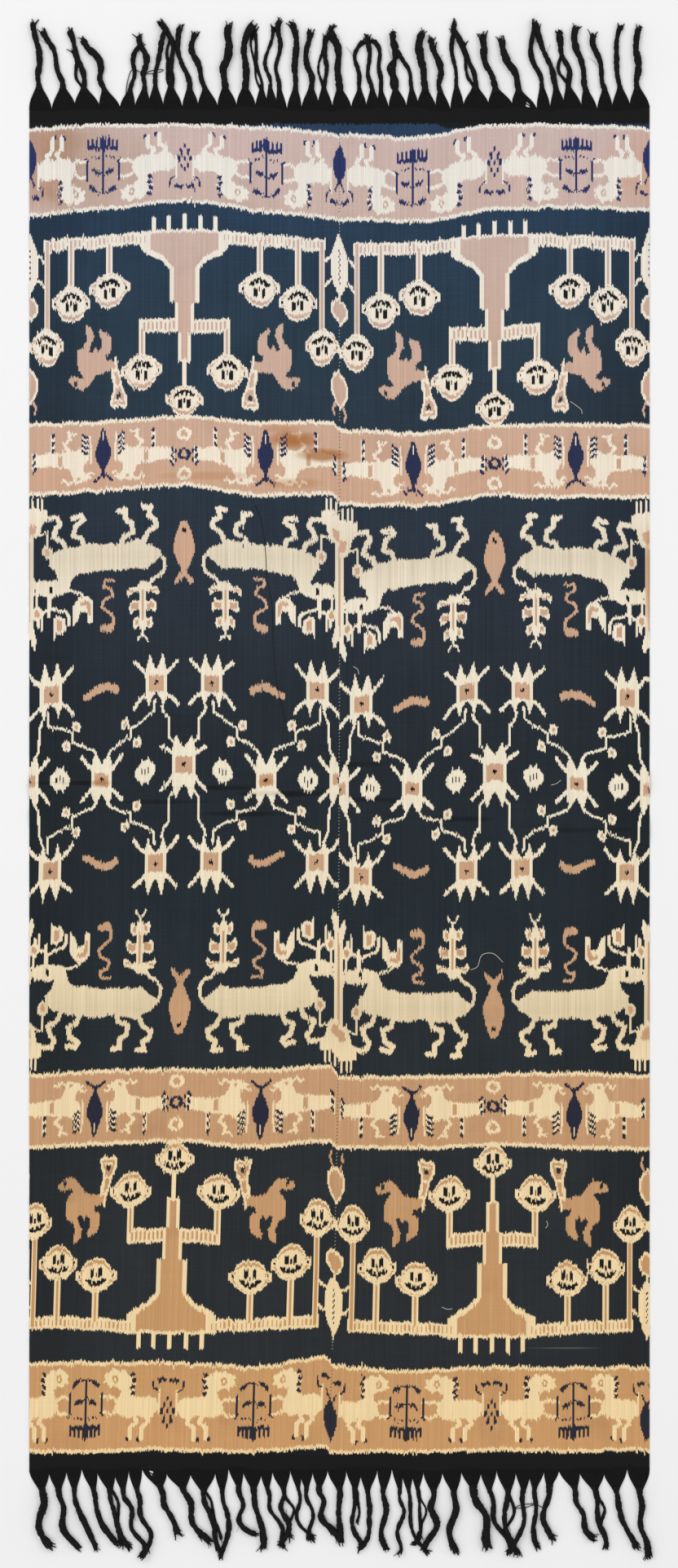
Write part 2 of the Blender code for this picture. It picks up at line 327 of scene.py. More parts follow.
def rooster():  # with its plume behind it
    body = [(142, 495), (133, 487), (123, 486), (117, 492), (108, 504), (96, 507), (83, 508), (81, 519),
            (96, 521), (97, 527), (90.5, 530), (90, 546), (93, 553), (104, 560), (105, 554), (101, 546),
            (102, 536), (106, 532), (109, 538), (113, 531), (117, 535), (115, 542), (111, 549), (112, 558),
            (116, 564), (121, 567), (121, 556), (119, 550), (123, 541), (131, 534), (132, 521), (130, 511),
            (123, 502), (128, 500), (135, 502), (141, 500)]
    fill(salmon, body)
    fill(cream, [(90, 510), (81, 509), (78, 498), (76, 488), (71, 478), (70, 465), (75, 461), (80, 464),
                 (85, 460), (91, 464), (90, 474), (87, 482), (87, 490), (90, 500)])
    fill(salmon, [(87, 506), (82, 505), (80, 496), (79, 488), (74, 477), (73, 466), (88, 466), (87, 474),
                  (84, 482), (84, 496)])
    for v in (469, 486):
        bar(cream, 75, v, 86, v + 3.0)
    fill(ground, [(78, 473), (83, 472), (84, 478), (79, 480)])
    line(cream, 2.5, (85, 524), (83, 506))
    bar(ground, 131.5, 490, 135, 496)


def edgeColumn():  # small creatures on the sewn edge
    fill(cream, [(farU, 468), (185, 474), (180, 484), (180, 498), (184, 508), (farU, 517)])
    fill(salmon, [(farU, 472), (187, 477), (182, 486), (182, 497), (186, 506), (farU, 512)])
    line(salmon, 2.6, (186, 474), (182, 464), (184, 457))
    fill(cream, [(farU, 571), (185, 574), (180, 580), (180, 591), (185, 600), (farU, 603)])
    fill(salmon, [(farU, 576), (186, 578), (182.5, 583), (182.5, 590), (187, 598), (farU, 600)])
    bar(cream, 188.4, 600, farU, 612)
    fill(cream, [(farU, 606), (186, 610), (180.5, 622), (179, 640), (181, 656), (186, 670), (farU, 683)])
    for v in (616, 646):
        line(cream, 3.0, (182, v + 5), (176, v + 3), (173, v - 3))
    for v in range(622, 662, 7):
        bar(accent, 189, v, farU, v + 2.5)


def innerBand():  # facing horses, a fish between them, and rings on the middle thread
    band(*chart["innerBand"])
    for v in (371, 424):
        oval(cream, 0, v, 9.0, 8.5)
        oval(salmon, 0, v, 4.6, 4.2)
    oval(accent, 0, 397, 8.5, 8.0)
    oval(salmon, 0, 397, 3.4, 4.5)
    for v in (390, 402):
        bar(accent, 8.5, v - 3, 11.5, v + 3)
    for turn in facing(199):
        fill(cream, turn([(12, 388), (20, 391), (34, 393), (34, 409), (20, 406), (12, 409)]))
        body = [(20, 391), (50, 389), (58, 386), (62, 376), (62, 371), (66, 367), (78, 369), (87, 374),
                (80, 377), (76, 381), (76, 390), (82, 397), (82, 410), (80, 428), (74, 430), (74, 415),
                (66, 410), (54, 409), (34, 408), (20, 405)]
        fill(cream, turn(body))
        fill(salmon, turn([(44, 392), (49, 391), (49, 405), (44, 405)]))
        fill(salmon, turn([(68, 371), (72, 371), (72, 375), (68, 375)]))
        line(cream, 3.0, *turn([(63, 371), (57, 367), (53, 373), (49, 370)]))
        line(cream, 2.4, *turn([(80, 376), (85, 381), (88, 379)]))
        for b in (407, 414, 421, 428):
            line(accent, 3.6, *turn([(74.0, b + 2.0), (80.0, b - 2.0)]))
        line(cream, 2.2, *turn([(84, 393), (85, 412), (83, 429)]))
        line(cream, 4.6, *turn([(38, 408), (37.5, 420), (38, 431)]))
        for b in (410.5, 420, 430):
            line(accent, 3.4, *turn([(38, b), (38, b + 3.2)]))
        line(cream, 4.0, *turn([(59, 408), (51, 417), (59, 424), (57, 433)]))
        line(cream, 3.0, *turn([(59, 430), (66, 432)]))
        for b in (386, 395, 404):
            line(accent, 3.6, *turn([(14.0, b - 1.5), (16.4 - (b - 386) * 0.1, b + 2.0)]))
    fish = 99.5
    flank = [(2.5, 384), (6, 391), (9.6, 402), (9.2, 412), (4.4, 425), (3, 434)]
    fill(accent, placed(flank, fish, 0, -1) + [(fish, 438)] + placed(flank, fish, 0)[::-1])
    bar(accent, fish - 1.8, 374, fish + 1.8, 388)
    for side in (-1, 1):
        line(accent, 3.4, (fish, 378), (fish + side * 8, 372), (fish + side * 11, 369))
    bar(cream, fish - 0.7, 421, fish + 0.7, 432)


def deer():
    body = [(26, 272), (32, 281), (45, 288), (53, 294), (80, 290), (115, 292), (124, 290), (142, 286),
            (156, 282), (165, 274), (166, 264), (158, 256), (154, 244), (161, 246), (178, 245), (186, 238),
            (187, 229), (171, 227), (163, 225), (153, 227), (142, 232), (137, 247), (131, 253), (96, 258),
            (59, 258), (48, 255), (37, 264)]
    fill(cream, body)
    bar(black, 162, 231, 165, 239)
    bar(black, 181.5, 232, 184, 235)
    line(cream, 5.0, (165.5, 228), (166, 204))
    line(cream, 3.6, (165, 214), (154, 209), (145, 207), (141, 200), (141, 190))
    line(cream, 3.6, (167, 212), (178, 205), (179, 193))
    line(cream, 2.6, (175, 206), (175, 187))
    fill(cream, [(144, 184), (149, 180), (157, 181), (160, 173), (160, 200), (154, 203), (146, 198)])
    fill(salmon, [(149, 184), (156, 185), (156, 199), (150, 196)])
    line(cream, 3.0, (142, 233), (128, 229), (119, 222))
    fill(cream, [(112, 191), (118, 190), (118, 205), (127, 207), (130, 196), (137, 188), (137, 212),
                 (129, 224), (118, 225), (112, 218)])
    fill(salmon, [(114.5, 200), (117, 200), (120, 214), (128, 214), (128, 218), (118, 220), (114.5, 214)])
    legs = (((122, 287), (126, 299), (136, 302), (133, 315), (123, 321), (127, 327), (137, 324)),
            ((145, 284), (149, 294), (161, 300), (157, 311), (152, 317), (156, 325), (165, 324)),
            ((50, 291), (44, 303), (34, 308), (36, 316), (44, 322), (41, 332), (51, 332)),
            ((77, 288), (75, 298), (63, 302), (64, 313), (72, 319), (72, 330), (81, 330)))
    for leg in legs:
        line(cream, 6.0, *leg)
    line(cream, 4.2, (27, 271), (24, 266), (23.5, 257), (27, 249), (37, 244), (48, 231), (52, 227))


def leafTree():  # grows on the deer's tail
    middle = 50.5
    for side in (-1, 1):
        for reach, v0, v1 in ((12.5, 181, 196), (17.0, 201, 217), (20.5, 223, 234)):
            leaf = [(0, v0 + 5), (reach - 7, v0 + 3), (reach - 2, v0 - 1), (reach, v0 + 4),
                    (reach - 1, v1 - 4), (reach - 5, v1), (5, v1 - 1), (0, v1 + 1)]
            fill(cream, placed(leaf, middle, 0, side))
            bar(salmon, middle + side * 5.0, v0 + 4.6, middle + side * (reach - 3.0), v1 - 3.6)
        line(cream, 2.4, *placed([(0, 181), (0.5, 174), (5, 170), (6, 166)], middle, 0, side))
    bar(cream, middle - 3.6, 180, middle + 3.6, 240)
    bar(salmon, middle - 1.2, 192, middle + 1.2, 232)
    fill(cream, [(middle - 12, 229), (middle + 12, 229), (middle + 3, 240), (middle - 8, 240)])
    line(cream, 2.2, (middle, 173), (middle, 182))


def bandCreatures():  # fish, snake and half tree between the deer
    fish = [(nearU, 313), (4, 311), (9, 300), (12.5, 285), (12.5, 274), (8, 262), (3, 250), (11, 240),
            (12, 234), (7, 235), (0, 243), (nearU, 243)]
    fill(salmon, fish)
    bar(black, nearU, 299, 2.0, 304)
    snake = ((86, 245), (97, 245), (99, 237), (90, 234), (87, 226), (99, 219), (101, 211), (87, 200),
             (86, 188))
    line(salmon, 3.3, *snake)
    fill(salmon, [(84.5, 190), (86.5, 182), (91, 179), (102, 180), (103, 186), (98, 189), (89, 190)])
    bar(cream, 184.5, 176, farU, 312)
    bar(salmon, 188.2, 196, farU, 300)
    fill(cream, [(181, 176), (183, 166), (187, 172), (188, 184), (184, 190)])
    for u, v, lowV in ((180.5, 207, 250), (168, 280, 300)):
        line(cream, 2.6, (u, v + 4), (u, v + 26), (186, lowV))
        fill(cream, placed([(0, -9), (6.5, -3), (6.5, 4), (0, 10), (-6.5, 4), (-6.5, -3)], u, v))
        oval(salmon, u, v, 3.2, 4.6)
    fill(cream, [(farU, 294), (180, 298), (176, 308), (174, 318), (farU, 320)])
    fill(salmon, [(farU, 300), (183, 303), (181, 314), (farU, 316)])
    fill(cream, [(167, 322), (174, 318), (farU, 316), (farU, 338), (168, 336)])
    for a in (174, 180, 186):
        bar(cream, a - 1.4, 334, a + 1.4, 351)


def star(u, v, halfBody=13.4, top=-22, bottom=20, spikes=(9, -33, 8, 38), core=(9.3, 10.5), reach=1.0):
    upU, upV, lowU, lowV = spikes
    right = [(upU - 3.6, top + 3), (upU, upV), (upU + 3, top + 2), (halfBody, top), (halfBody, bottom - 4),
             (lowU + 3.4, bottom + 3), (lowU, lowV), (lowU - 4.2, bottom + 4)]
    left = [(-a, b) for a, b in reversed(right)]
    fill(cream, placed([(0, top + 9), *right, (0, bottom - 4), *left], u, v))
    for side in (-1, 1):
        for points in (((12, -14), (20, -20), (27 * reach, -30)), ((12, 12), (19, 20), (26 * reach, 27))):
            line(cream, 4.3, *placed(points, u, v, side))
    bar(salmon, u - core[0], v - core[1] - 1, u + core[0], v + core[1] - 1)
    bar(black, u - 2.6, v - 1.5, u + 2.6, v + 1.5)
    bar(black, u - 0.8, v - 3.6, u + 1.2, v + 2.8)


def roundCreature(u, v):  # a small animal seen from above
    rough = [(0, -9), (3.6, -13), (5, -8), (8, -5), (12.5, -1), (11.5, 3), (8, 7), (5, 10), (4.2, 15),
             (2, 11)]
    rough += [(-a, b) for a, b in reversed(rough[1:])]
    fill(cream, placed(rough, u, v))
    for a in (-4.2, 0, 4.2):
        bar(black, u + a - 0.9, v - 6, u + a + 0.9, v + 1.6)


def vines():  # stalks between the stars, with buds
    for points in (((12, 30), (18, 36), (18, 62), (25, 72), (27, 80)),
                   ((94, 27), (89, 35), (75, 43), (65.4, 46), (65.4, 57), (50, 64), (36.8, 74), (35.6, 88)),
                   ((107, 28), (111, 36), (121, 40), (137, 46), (137, 58), (152, 64), (167, 70), (167, 88)),
                   ((184, 28), (178, 38), (177, 68), (171, 84))):
        line(cream, 2.9, *points)
    for u, v in ((57.6, 39), (72, 62), (144, 41), (132, 65)):
        fill(cream, placed([(-4.5, -6), (4.5, -5), (5.5, 2), (2.5, 6.5), (-3.5, 6), (-5.5, 0)], u, v))
        oval(salmon, u, v, 2.2, 2.8)


def starField():
    vines()
    star(34, 111)
    star(163, 111)
    star(0, 0, halfBody=13.8, top=-28, bottom=26, spikes=(10, -42, 9.5, 40), core=(10, 11.5), reach=1.05)
    star(100.5, 0, halfBody=12.4, top=-21, bottom=21, spikes=(8, -36, 8, 30), core=(8.6, 8.5), reach=0.95)
    star(190, 0, halfBody=11.5, top=-21, bottom=21, spikes=(8, -38, 8, 34), core=(7.8, 8.5), reach=0.92)
    roundCreature(47.5, 2)
    roundCreature(152, 2)
    fill(salmon, [(79, 106), (85, 112), (94, 114), (103, 114), (112, 108), (124, 101), (124, 95), (115, 97),
                  (106, 102), (97, 105), (88, 103), (82, 98)])


for drawing in (endBand, skullTree, rooster, edgeColumn, innerBand, deer, leafTree, bandCreatures, starField):
    drawing()
print("chart tied")

# Drift: how far the ties slipped along the warp, in ties towards the lower end, at stations across a panel.
# Each row starts with its place on the chart
driftStations = (-190, -95, 0, 95, 180, 190)
drift = {
    ("panel_left", 1): [
        (0, -3, -4, -24, -4, -3, -3), (111, 9, -8, -13, -8, -1, 0), (275, -4, -2, -9, -2, 4, 5),
        (354, 4, -3, -9, 4, 1, 12), (448, 7, 4, -3, 4, 4, 14), (675, 5, 2, -1, 1, 3, 3),
        (703, 9, 0, -9, 4, 12, 16), (817, 14, 9, 9, 12, 20, 25)],
    ("panel_left", -1): [
        (0, -3, -4, -24, -4, -3, -3), (111, 0, -8, -13, -12, -12, -12), (275, -3, -5, -5, -7, -8, -8),
        (354, 4, -2, -4, -4, -9, 2), (448, 2, -3, -7, 1, -7, 3), (675, -2, -2, -2, -2, -2, -2),
        (703, 6, 7, 6, 12, 0, 8), (817, 5, 5, 2, 5, -1, 3)],
    ("panel_right", 1): [
        (0, 9, 7, -13, 0, 8, 9), (111, 16, 8, -4, 0, 8, 9), (275, 22, 17, 5, 3, 11, 12),
        (354, 14, 16, 3, 6, 6, 6), (448, 14, 17, 9, 7, 7, 7), (675, 9, 10, 5, 2, 2, 2),
        (703, 15, 16, 2, -1, 3, 4), (817, 21, 24, 9, 9, 13, 14)],
    ("panel_right", -1): [
        (0, 9, 7, -13, 0, 8, 9), (111, 5, 2, -4, -3, 1, 1), (275, 1, 0, 0, -2, -2, -2),
        (354, 6, 4, 3, 0, 4, 4), (448, 1, 2, -2, 1, 3, 3), (675, 3, 3, 3, 3, 3, 3),
        (703, 11, 17, 12, 14, 12, 12), (817, 5, 5, 3, 4, 3, 3)],
}


def smoothThrough(stations, values, at):  # a smooth curve through the stations that never overshoots them
    stations, values = np.asarray(stations, float), np.asarray(values, float)
    rises = np.diff(values) / np.diff(stations)
    slopes = np.concatenate([rises[:1], np.zeros(len(rises) - 1), rises[-1:]])
    for i in range(1, len(rises)):
        if rises[i - 1] * rises[i] > 0:
            slopes[i] = 2 * rises[i - 1] * rises[i] / (rises[i - 1] + rises[i])
    k = int(np.clip(np.searchsorted(stations, at) - 1, 0, len(rises) - 1))
    step = stations[k + 1] - stations[k]
    t = float(np.clip((at - stations[k]) / step, 0, 1))
    return (values[k] * (1 + 2 * t) * (1 - t) ** 2 + values[k + 1] * t * t * (3 - 2 * t)
            + step * (slopes[k] * t * (1 - t) ** 2 - slopes[k + 1] * t * t * (1 - t)))


# Stretches across a panel where its end stayed indigo between the last band and the black end strip
blueEnds = {("panel_left", 1): [(70.0, 240.0)], ("panel_right", 1): [(-240.0, -42.0), (96.0, 240.0)]}
blueEnd = {
    "taper": 30,  # ties over which the indigo runs out at each side
    "black": (0.0020, 0.0016),  # metres of black left past it, and their spread
    "gap": 0.0012,
    "least": 0.002,
}

# Weaving: each bundle is a strip of the cloth's face, with rows where its dye changes or the cloth bends
weave = {
    "slip": 0.0015,  # spread of one bundle's own shift along the warp
    "slipLength": 0.090,  # a bundle keeps its shift over about this length
    "wander": 0.0011,  # spread of the shift that neighbouring bundles share
    "wanderBundles": 9,
    "edgeJitter": 0.0005,
    "strays": 0.08,  # share of the stations where a bundle strays further
    "strayGain": 2.3,
    "ramp": 0.0024,  # half the length over which one dye gives way to the next, yarn by yarn
    "rampShare": 0.42,  # the most that a ramp takes of a short run
    "shortestRun": 0.0014,
    "plainEnd": 0.001,  # no change of dye this close to a panel's end
    "thinnest": 2e-5,  # a strip narrower than this is left open
    "seed": 41,
}
# Rows for the relief: evenly down the cloth, and closer at the middle crease and the pucker
creaseRows, puckerRows = np.arange(-0.150, 0.1001, 0.008), np.arange(0.540, 0.7001, 0.012)
reliefRows = np.concatenate([np.linspace(-panelEnd, panelEnd, 72), creaseRows, puckerRows, [0.0]])
reliefRows = sorted({round(float(y), 4) for y in reliefRows})


def slipOf(bundles, rng):  # shift of every bundle at stations along the cloth, in metres
    stations = np.arange(-panelEnd - 0.1, panelEnd + 0.2, weave["slipLength"])
    own = rng.normal(0, weave["slip"], (bundles, len(stations)))
    own *= np.where(rng.random(own.shape) < weave["strays"], weave["strayGain"], 1.0)
    count = weave["wanderBundles"]
    raw = rng.normal(0, 1, (bundles + 2 * count, len(stations)))
    shape = np.hanning(2 * count + 1)
    shared = np.stack([np.convolve(raw[:, i], shape, "valid") for i in range(len(stations))], axis=1)
    shared *= weave["wander"] / np.sqrt((shape ** 2).sum())
    return stations, own + shared[:bundles]


def dyeChanges(panel, u, shift, rng):  # (y, dye below, dye above) up a bundle, and the dye at its lower end
    edge = chart["halfWidth"]
    reach = abs(u) if abs(u) <= edge else 2 * edge - abs(u)
    codes = dyeChart[:, min(int(reach / bundleStep), chart["bundles"] - 1)]
    cuts = np.flatnonzero(np.diff(codes)) + 1
    changes = []
    for half in (-1, 1):
        table = drift[(panel, half)]
        slips = [smoothThrough(driftStations, row[1:], u) for row in table]
        down = np.interp(rowV[cuts], [row[0] for row in table], slips)
        y = (chartMiddle + half * rowV[cuts] - down) * tie
        y = y + shift(y) + rng.normal(0, weave["edgeJitter"], len(y))
        rows = [(float(a), int(codes[i - 1]), int(codes[i])) for a, i in zip(y, cuts)]
        for low, high in blueEnds.get((panel, half), []):
            if low < u < high:
                start = rows[-1][0]
                taper = min(1.0, (u - low) / blueEnd["taper"], (high - u) / blueEnd["taper"])
                end = start + (panelEnd - abs(rng.normal(*blueEnd["black"])) - blueEnd["gap"] - start) * taper
                end = max(start + blueEnd["least"], end)
                rows[-1:] = [(start, rows[-1][1], ground), (end, ground, black)]
        if half < 0:
            rows = [(a, after, before) for a, before, after in reversed(rows)]
        changes += rows
    kept = []
    for y, below, above in changes:
        while kept and y - kept[-1][0] < weave["shortestRun"]:
            below = kept.pop()[1]
        if below != above and abs(y) < panelEnd - weave["plainEnd"]:
            kept.append((y, below, above))
    return kept, int(codes[-1])


def rowsOfBundle(changes, lowest):  # the bundle's rows and, for each, how much of every dye it holds
    knots, dyes = [-panelEnd], [changes[0][1] if changes else lowest]
    for i, (y, below, above) in enumerate(changes):
        before = y - (changes[i - 1][0] if i else -panelEnd)
        after = (changes[i + 1][0] if i + 1 < len(changes) else panelEnd) - y
        ramp = min(weave["ramp"], weave["rampShare"] * before, weave["rampShare"] * after)
        knots += [y - ramp, y + ramp]
        dyes += [below, above]
    knots.append(panelEnd)
    dyes.append(dyes[-1])
    knots = np.round(knots, 4)
    rows = np.union1d(knots, reliefRows)
    amounts = [np.interp(rows, knots, np.array(dyes) == dye) for dye in (cream, salmon, accent, black)]
    return rows, np.stack(amounts, axis=1)


def threadX(panel, side, u, y):  # where a thread of the chart lies across the cloth
    middle = along(middleThreads[panel], y)
    seam = along(seamLine, y) + side * cloth["sewnGap"] / 2
    towardsSeam = middle + (seam - middle) * abs(u) / chart["halfWidth"]
    x = towardsSeam if u * side < 0 else middle + u * tie
    selvedge = cloth["width"] / 2
    return np.clip(x, -selvedge, selvedge)


def weavePanel(name, side):
    rng = np.random.default_rng(weave["seed"] + side)
    spare = chart["spareBundles"]
    first = -chart["bundles"] - (spare if side < 0 else 0)
    last = chart["bundles"] + (spare if side > 0 else 0)
    stations, slips = slipOf(last - first, rng)
    tones = rng.normal(0, 1, last - first)
    strips = []
    for k, j in enumerate(range(first, last)):
        middle, slip = (j + 0.5) * bundleStep, slips[k]
        changes, lowest = dyeChanges(name, middle, lambda y: np.interp(y, stations, slip), rng)
        rows, amounts = rowsOfBundle(changes, lowest)
        left = threadX(name, side, j * bundleStep, rows)
        right = threadX(name, side, (j + 1) * bundleStep, rows)
        strips.append((left, right, rows, amounts, tones[k]))
    verts, faces, dyeRows, toneRows = [], [], [], []
    count = 0

    def addStrip(low, high, rows, amounts, value):  # low and high: the strip's two edges as (x, z) columns
        nonlocal count
        n = len(rows)
        sides = [np.stack([x, rows, z], 1) for x, z in (low, high)]
        verts.append(np.stack(sides, 1))
        dyeRows.append(np.repeat(amounts, 2, axis=0))
        toneRows.append(np.full(2 * n, value))
        span = np.abs(high[0] - low[0]) + np.abs(high[1] - low[1])
        base = count + 2 * np.flatnonzero(span[:-1] > weave["thinnest"])
        faces.append(np.stack([base, base + 1, base + 3, base + 2], 1))
        count += 2 * n

    for left, right, rows, amounts, value in strips:
        addStrip((left, clothTop(left, rows)), (right, clothTop(right, rows)), rows, amounts, value)
    for k in ((0, -1) if side > 0 else (-1, 0)):  # the cloth's edges, turned down to its underside
        left, right, rows, amounts, value = strips[k]
        x = left if k == 0 else right
        top = clothTop(x, rows)
        outer = (x, np.maximum(top - cloth["thickness"], cloth["underside"]))
        inner = (x, top)
        pair = (outer, inner) if k == 0 else (inner, outer)
        addStrip(*pair, rows, amounts, value)
    piece = addPiece(name + "_cloth", np.concatenate(verts).reshape(-1, 3), np.concatenate(faces).tolist())
    mesh = piece.data
    mesh.attributes.new("dyes", "FLOAT_VECTOR", "POINT").data.foreach_set(
        "vector", np.concatenate(dyeRows)[:, :3].astype(np.float32).ravel())
    mesh.attributes.new("blackDye", "FLOAT", "POINT").data.foreach_set(
        "value", np.concatenate(dyeRows)[:, 3].astype(np.float32))
    mesh.attributes.new("bundleTone", "FLOAT", "POINT").data.foreach_set(
        "value", np.concatenate(toneRows).astype(np.float32))
    layOutUv(mesh)
    return piece


def addPiece(name, verts, faces):  # a smooth mesh, put in the scene
    mesh = bpy.data.meshes.new(name)
    mesh.from_pydata(verts.tolist(), [], faces)
    mesh.update()
    mesh.shade_smooth()
    piece = bpy.data.objects.new(name, mesh)
    bpy.context.scene.collection.objects.link(piece)
    return piece


uvSheet = {"margin": 0.01, "side": 0.004, "wall": 0.0016}  # metres left round each half, and for its edge


def layOutUv(mesh):  # the upper and the lower half of a panel side by side, at one scale
    co = np.zeros(len(mesh.vertices) * 3, np.float32)
    mesh.vertices.foreach_get("co", co)
    co = co.reshape(-1, 3)
    corner = np.zeros(len(mesh.loops), np.int32)
    mesh.loops.foreach_get("vertex_index", corner)
    scale = 1 / (panelEnd + 2 * uvSheet["margin"])
    x = co[corner, 0] - co[:, 0].min() + uvSheet["side"]
    y = co[corner, 1]
    lift = co[corner, 2] - cloth["thickness"]
    edgeWall = np.where(lift < -0.0001, uvSheet["wall"], 0.0) * np.sign(x - np.ptp(co[:, 0]) / 2)
    faceY = y.reshape(-1, 4).mean(axis=1).repeat(4)
    lower = faceY < 0
    u = (x + edgeWall) * scale + np.where(lower, 0.5, 0.0)
    v = np.where(lower, y + panelEnd + uvSheet["margin"], y + uvSheet["margin"]) * scale
    uv = mesh.uv_layers.new(name="OFBake")
    uv.data.foreach_set("uv", np.stack([u, v], 1).astype(np.float32).ravel())


panels = {name: weavePanel(name, side) for name, side in (("panel_left", -1), ("panel_right", 1))}
print("panels woven:", {name: 2 * len(piece.data.polygons) for name, piece in panels.items()})

# Fringe: the warps beyond the last weft, twisted into locks
Lock = namedtuple("Lock", "left right leftNotch rightNotch tipX reach cordWidth sway")
fringe = {
    "longest": 0.165,
    "seed": 11,
    "cordShare": 0.42,  # of the root's width
    "cordWidths": (0.0085, 0.0135),
    "tipSpacing": 0.0185,
    "spreadRounds": 60,
    "rootJitter": 0.16,
    "notchWander": 0.0045,
    "sway": 0.0035,
    "yarn": 0.0017,  # across one yarn at the root
    "twist": 0.031,  # length of one turn
    "coneShare": 0.27,  # of a lock's reach, from its root to the start of the twist
    "tuck": 0.0018,  # of the end strip, under the panels
    "tuckDepth": 0.0007,
    "ribs": 0.00025,  # relief of the end strip's yarns
    "ribsFrom": -0.02,
    "columns": 461,
    "rows": (-0.018, -0.009, 0.0),  # across the end strip, past its first two
    "firstRow": 0.0008,
    "overhang": (0.4, 0.7),  # where a stray hair leaves a lock
    "strayHair": (0.014, 0.030),  # its length
    "strayRadius": 0.0006,
}
# Bunches of locks that lean alike: (x where the bunch ends, locks, first and last lean, first and last reach)
bunches = [
    (-0.407, 4, -0.014, -0.040, 0.165, 0.140), (-0.326, 3, 0.036, 0.014, 0.132, 0.158),
    (-0.225, 3, -0.030, -0.042, 0.162, 0.146), (-0.156, 2, -0.006, -0.004, 0.164, 0.158),
    (-0.097, 3, -0.012, -0.018, 0.150, 0.163), (0.022, 4, 0.006, -0.014, 0.158, 0.146),
    (0.145, 5, -0.006, -0.024, 0.134, 0.148), (0.206, 2, -0.022, -0.018, 0.148, 0.136),
    (0.230, 1, 0.010, 0.010, 0.165, 0.165), (0.366, 3, -0.050, -0.046, 0.158, 0.130),
    (0.478, 4, -0.030, -0.036, 0.164, 0.148), (0.575, 3, -0.022, -0.012, 0.150, 0.156),
]


def spreadTips(tips):  # nudged apart until they lie side by side
    limit = cloth["width"] / 2 - fringe["tipSpacing"] / 2
    for _ in range(fringe["spreadRounds"]):
        for i in range(len(tips) - 1):
            short = fringe["tipSpacing"] - (tips[i + 1] - tips[i])
            if short > 0:
                tips[i] -= short / 2
                tips[i + 1] += short / 2
        tips = [min(limit, max(-limit, tip)) for tip in tips]
    return tips


def planLocks():
    rng = random.Random(fringe["seed"])
    roots, leans, reaches = [-cloth["width"] / 2], [], []
    startX = roots[0]
    for endX, count, leanStart, leanEnd, reachStart, reachEnd in bunches:
        pitch = (endX - startX) / count
        for i in range(count):
            share = i / max(1, count - 1)
            spread = fringe["rootJitter"]
            jitter = 0.0 if i == count - 1 else rng.uniform(-spread, spread) * pitch
            roots.append(startX + pitch * (i + 1) + jitter)
            leans.append(leanStart + (leanEnd - leanStart) * share)
            reaches.append(reachStart + (reachEnd - reachStart) * share)
        startX = endX
    centres = [(a + b) / 2 for a, b in zip(roots, roots[1:])]
    tips = spreadTips([centre + lean for centre, lean in zip(centres, leans)])
    notches = [rng.uniform(-fringe["notchWander"], fringe["notchWander"]) for _ in roots]
    locks = []
    for i, tip in enumerate(tips):
        cord = (roots[i + 1] - roots[i]) * fringe["cordShare"]
        cord = min(fringe["cordWidths"][1], max(fringe["cordWidths"][0], cord))
        sway = fringe["sway"] * math.sin(1.7 * i)
        reach = min(fringe["longest"], reaches[i])
        locks.append(Lock(roots[i], roots[i + 1], notches[i], notches[i + 1], tip, reach, cord, sway))
    return locks


def lockCentre(lock, share):  # in plan, from the notch line
    rootX = (lock.left + lock.right) / 2
    ease = share * share * (3 - 2 * share)
    x = rootX + (lock.tipX - rootX) * (0.5 * share + 0.5 * ease) + lock.sway * math.sin(2 * math.pi * share)
    return Vector((x, lock.reach * share, 0.0))


def runAt(lock, share):
    return (lockCentre(lock, share + 0.01) - lockCentre(lock, share - 0.01)).normalized()


def lockPoint(lock, share):  # a spot on the lock's middle, and its run there
    return lockCentre(lock, share) + Vector((0.0, 0.0, lock.cordWidth * 0.5)), runAt(lock, share)


def addTube(shape, points, radii, sides):  # a tube through the points, closed at both ends
    upwards = Vector((0.0, 0.0, 1.0))
    start = len(shape["verts"])
    for i, point in enumerate(points):
        run = points[min(i + 1, len(points) - 1)] - points[max(i - 1, 0)]
        across = run.cross(upwards)
        across = across.normalized() if across.length > 1e-9 else Vector((1.0, 0.0, 0.0))
        over = across.cross(run).normalized()
        for k in range(sides):
            turn = 2 * math.pi * k / sides
            shape["verts"].append(point + (across * math.cos(turn) + over * math.sin(turn)) * radii[i])
    for i in range(len(points) - 1):
        low = start + i * sides
        for k in range(sides):
            nextK = (k + 1) % sides
            shape["faces"].append((low + k, low + nextK, low + sides + nextK, low + sides + k))
    shape["faces"].append(tuple(range(start + sides - 1, start - 1, -1)))
    tail = start + (len(points) - 1) * sides
    shape["faces"].append(tuple(range(tail, tail + sides)))


def curved(run, lift, steps=6):  # a smooth run through a thread's points
    points = [Vector(p).to_3d() for p in run]
    out = []
    for i in range(len(points) - 1):
        a, b = points[i], points[i + 1]
        before, after = points[max(0, i - 1)], points[min(len(points) - 1, i + 2)]
        for k in range(steps):
            t = k / steps
            p = a + (b - before) * 0.5 * t + (before * 2 - a * 5 + b * 4 - after) * 0.5 * t * t
            p = p + (a * 3 - before - b * 3 + after) * 0.5 * t ** 3
            out.append((p.x, p.y, lift))
    out.append((points[-1].x, points[-1].y, lift))
    return out


# The gathered yarns at a lock's root
cone = {
    "fewest": 6,
    "girth": 0.66,  # radius of a yarn, as a share of its room at the root
    "neck": 0.56,  # of the cord's width, where the yarns have met
    "steps": 8,
    "spread": 0.04,  # of the place where they meet
    "lift": (0.30, 0.22),  # of the cord's width: height at the sides, and more in the middle
    "liftSpread": (0.6, 1.2),
    "bow": 1.3,  # above 1 the yarns run straight for longer before they draw together
    "overlap": 0.003,  # over the end strip
    "wobble": 0.0003,
    "thinning": 0.25,
    "clear": 1.05,  # a yarn's middle stays this many radii above the floor
}
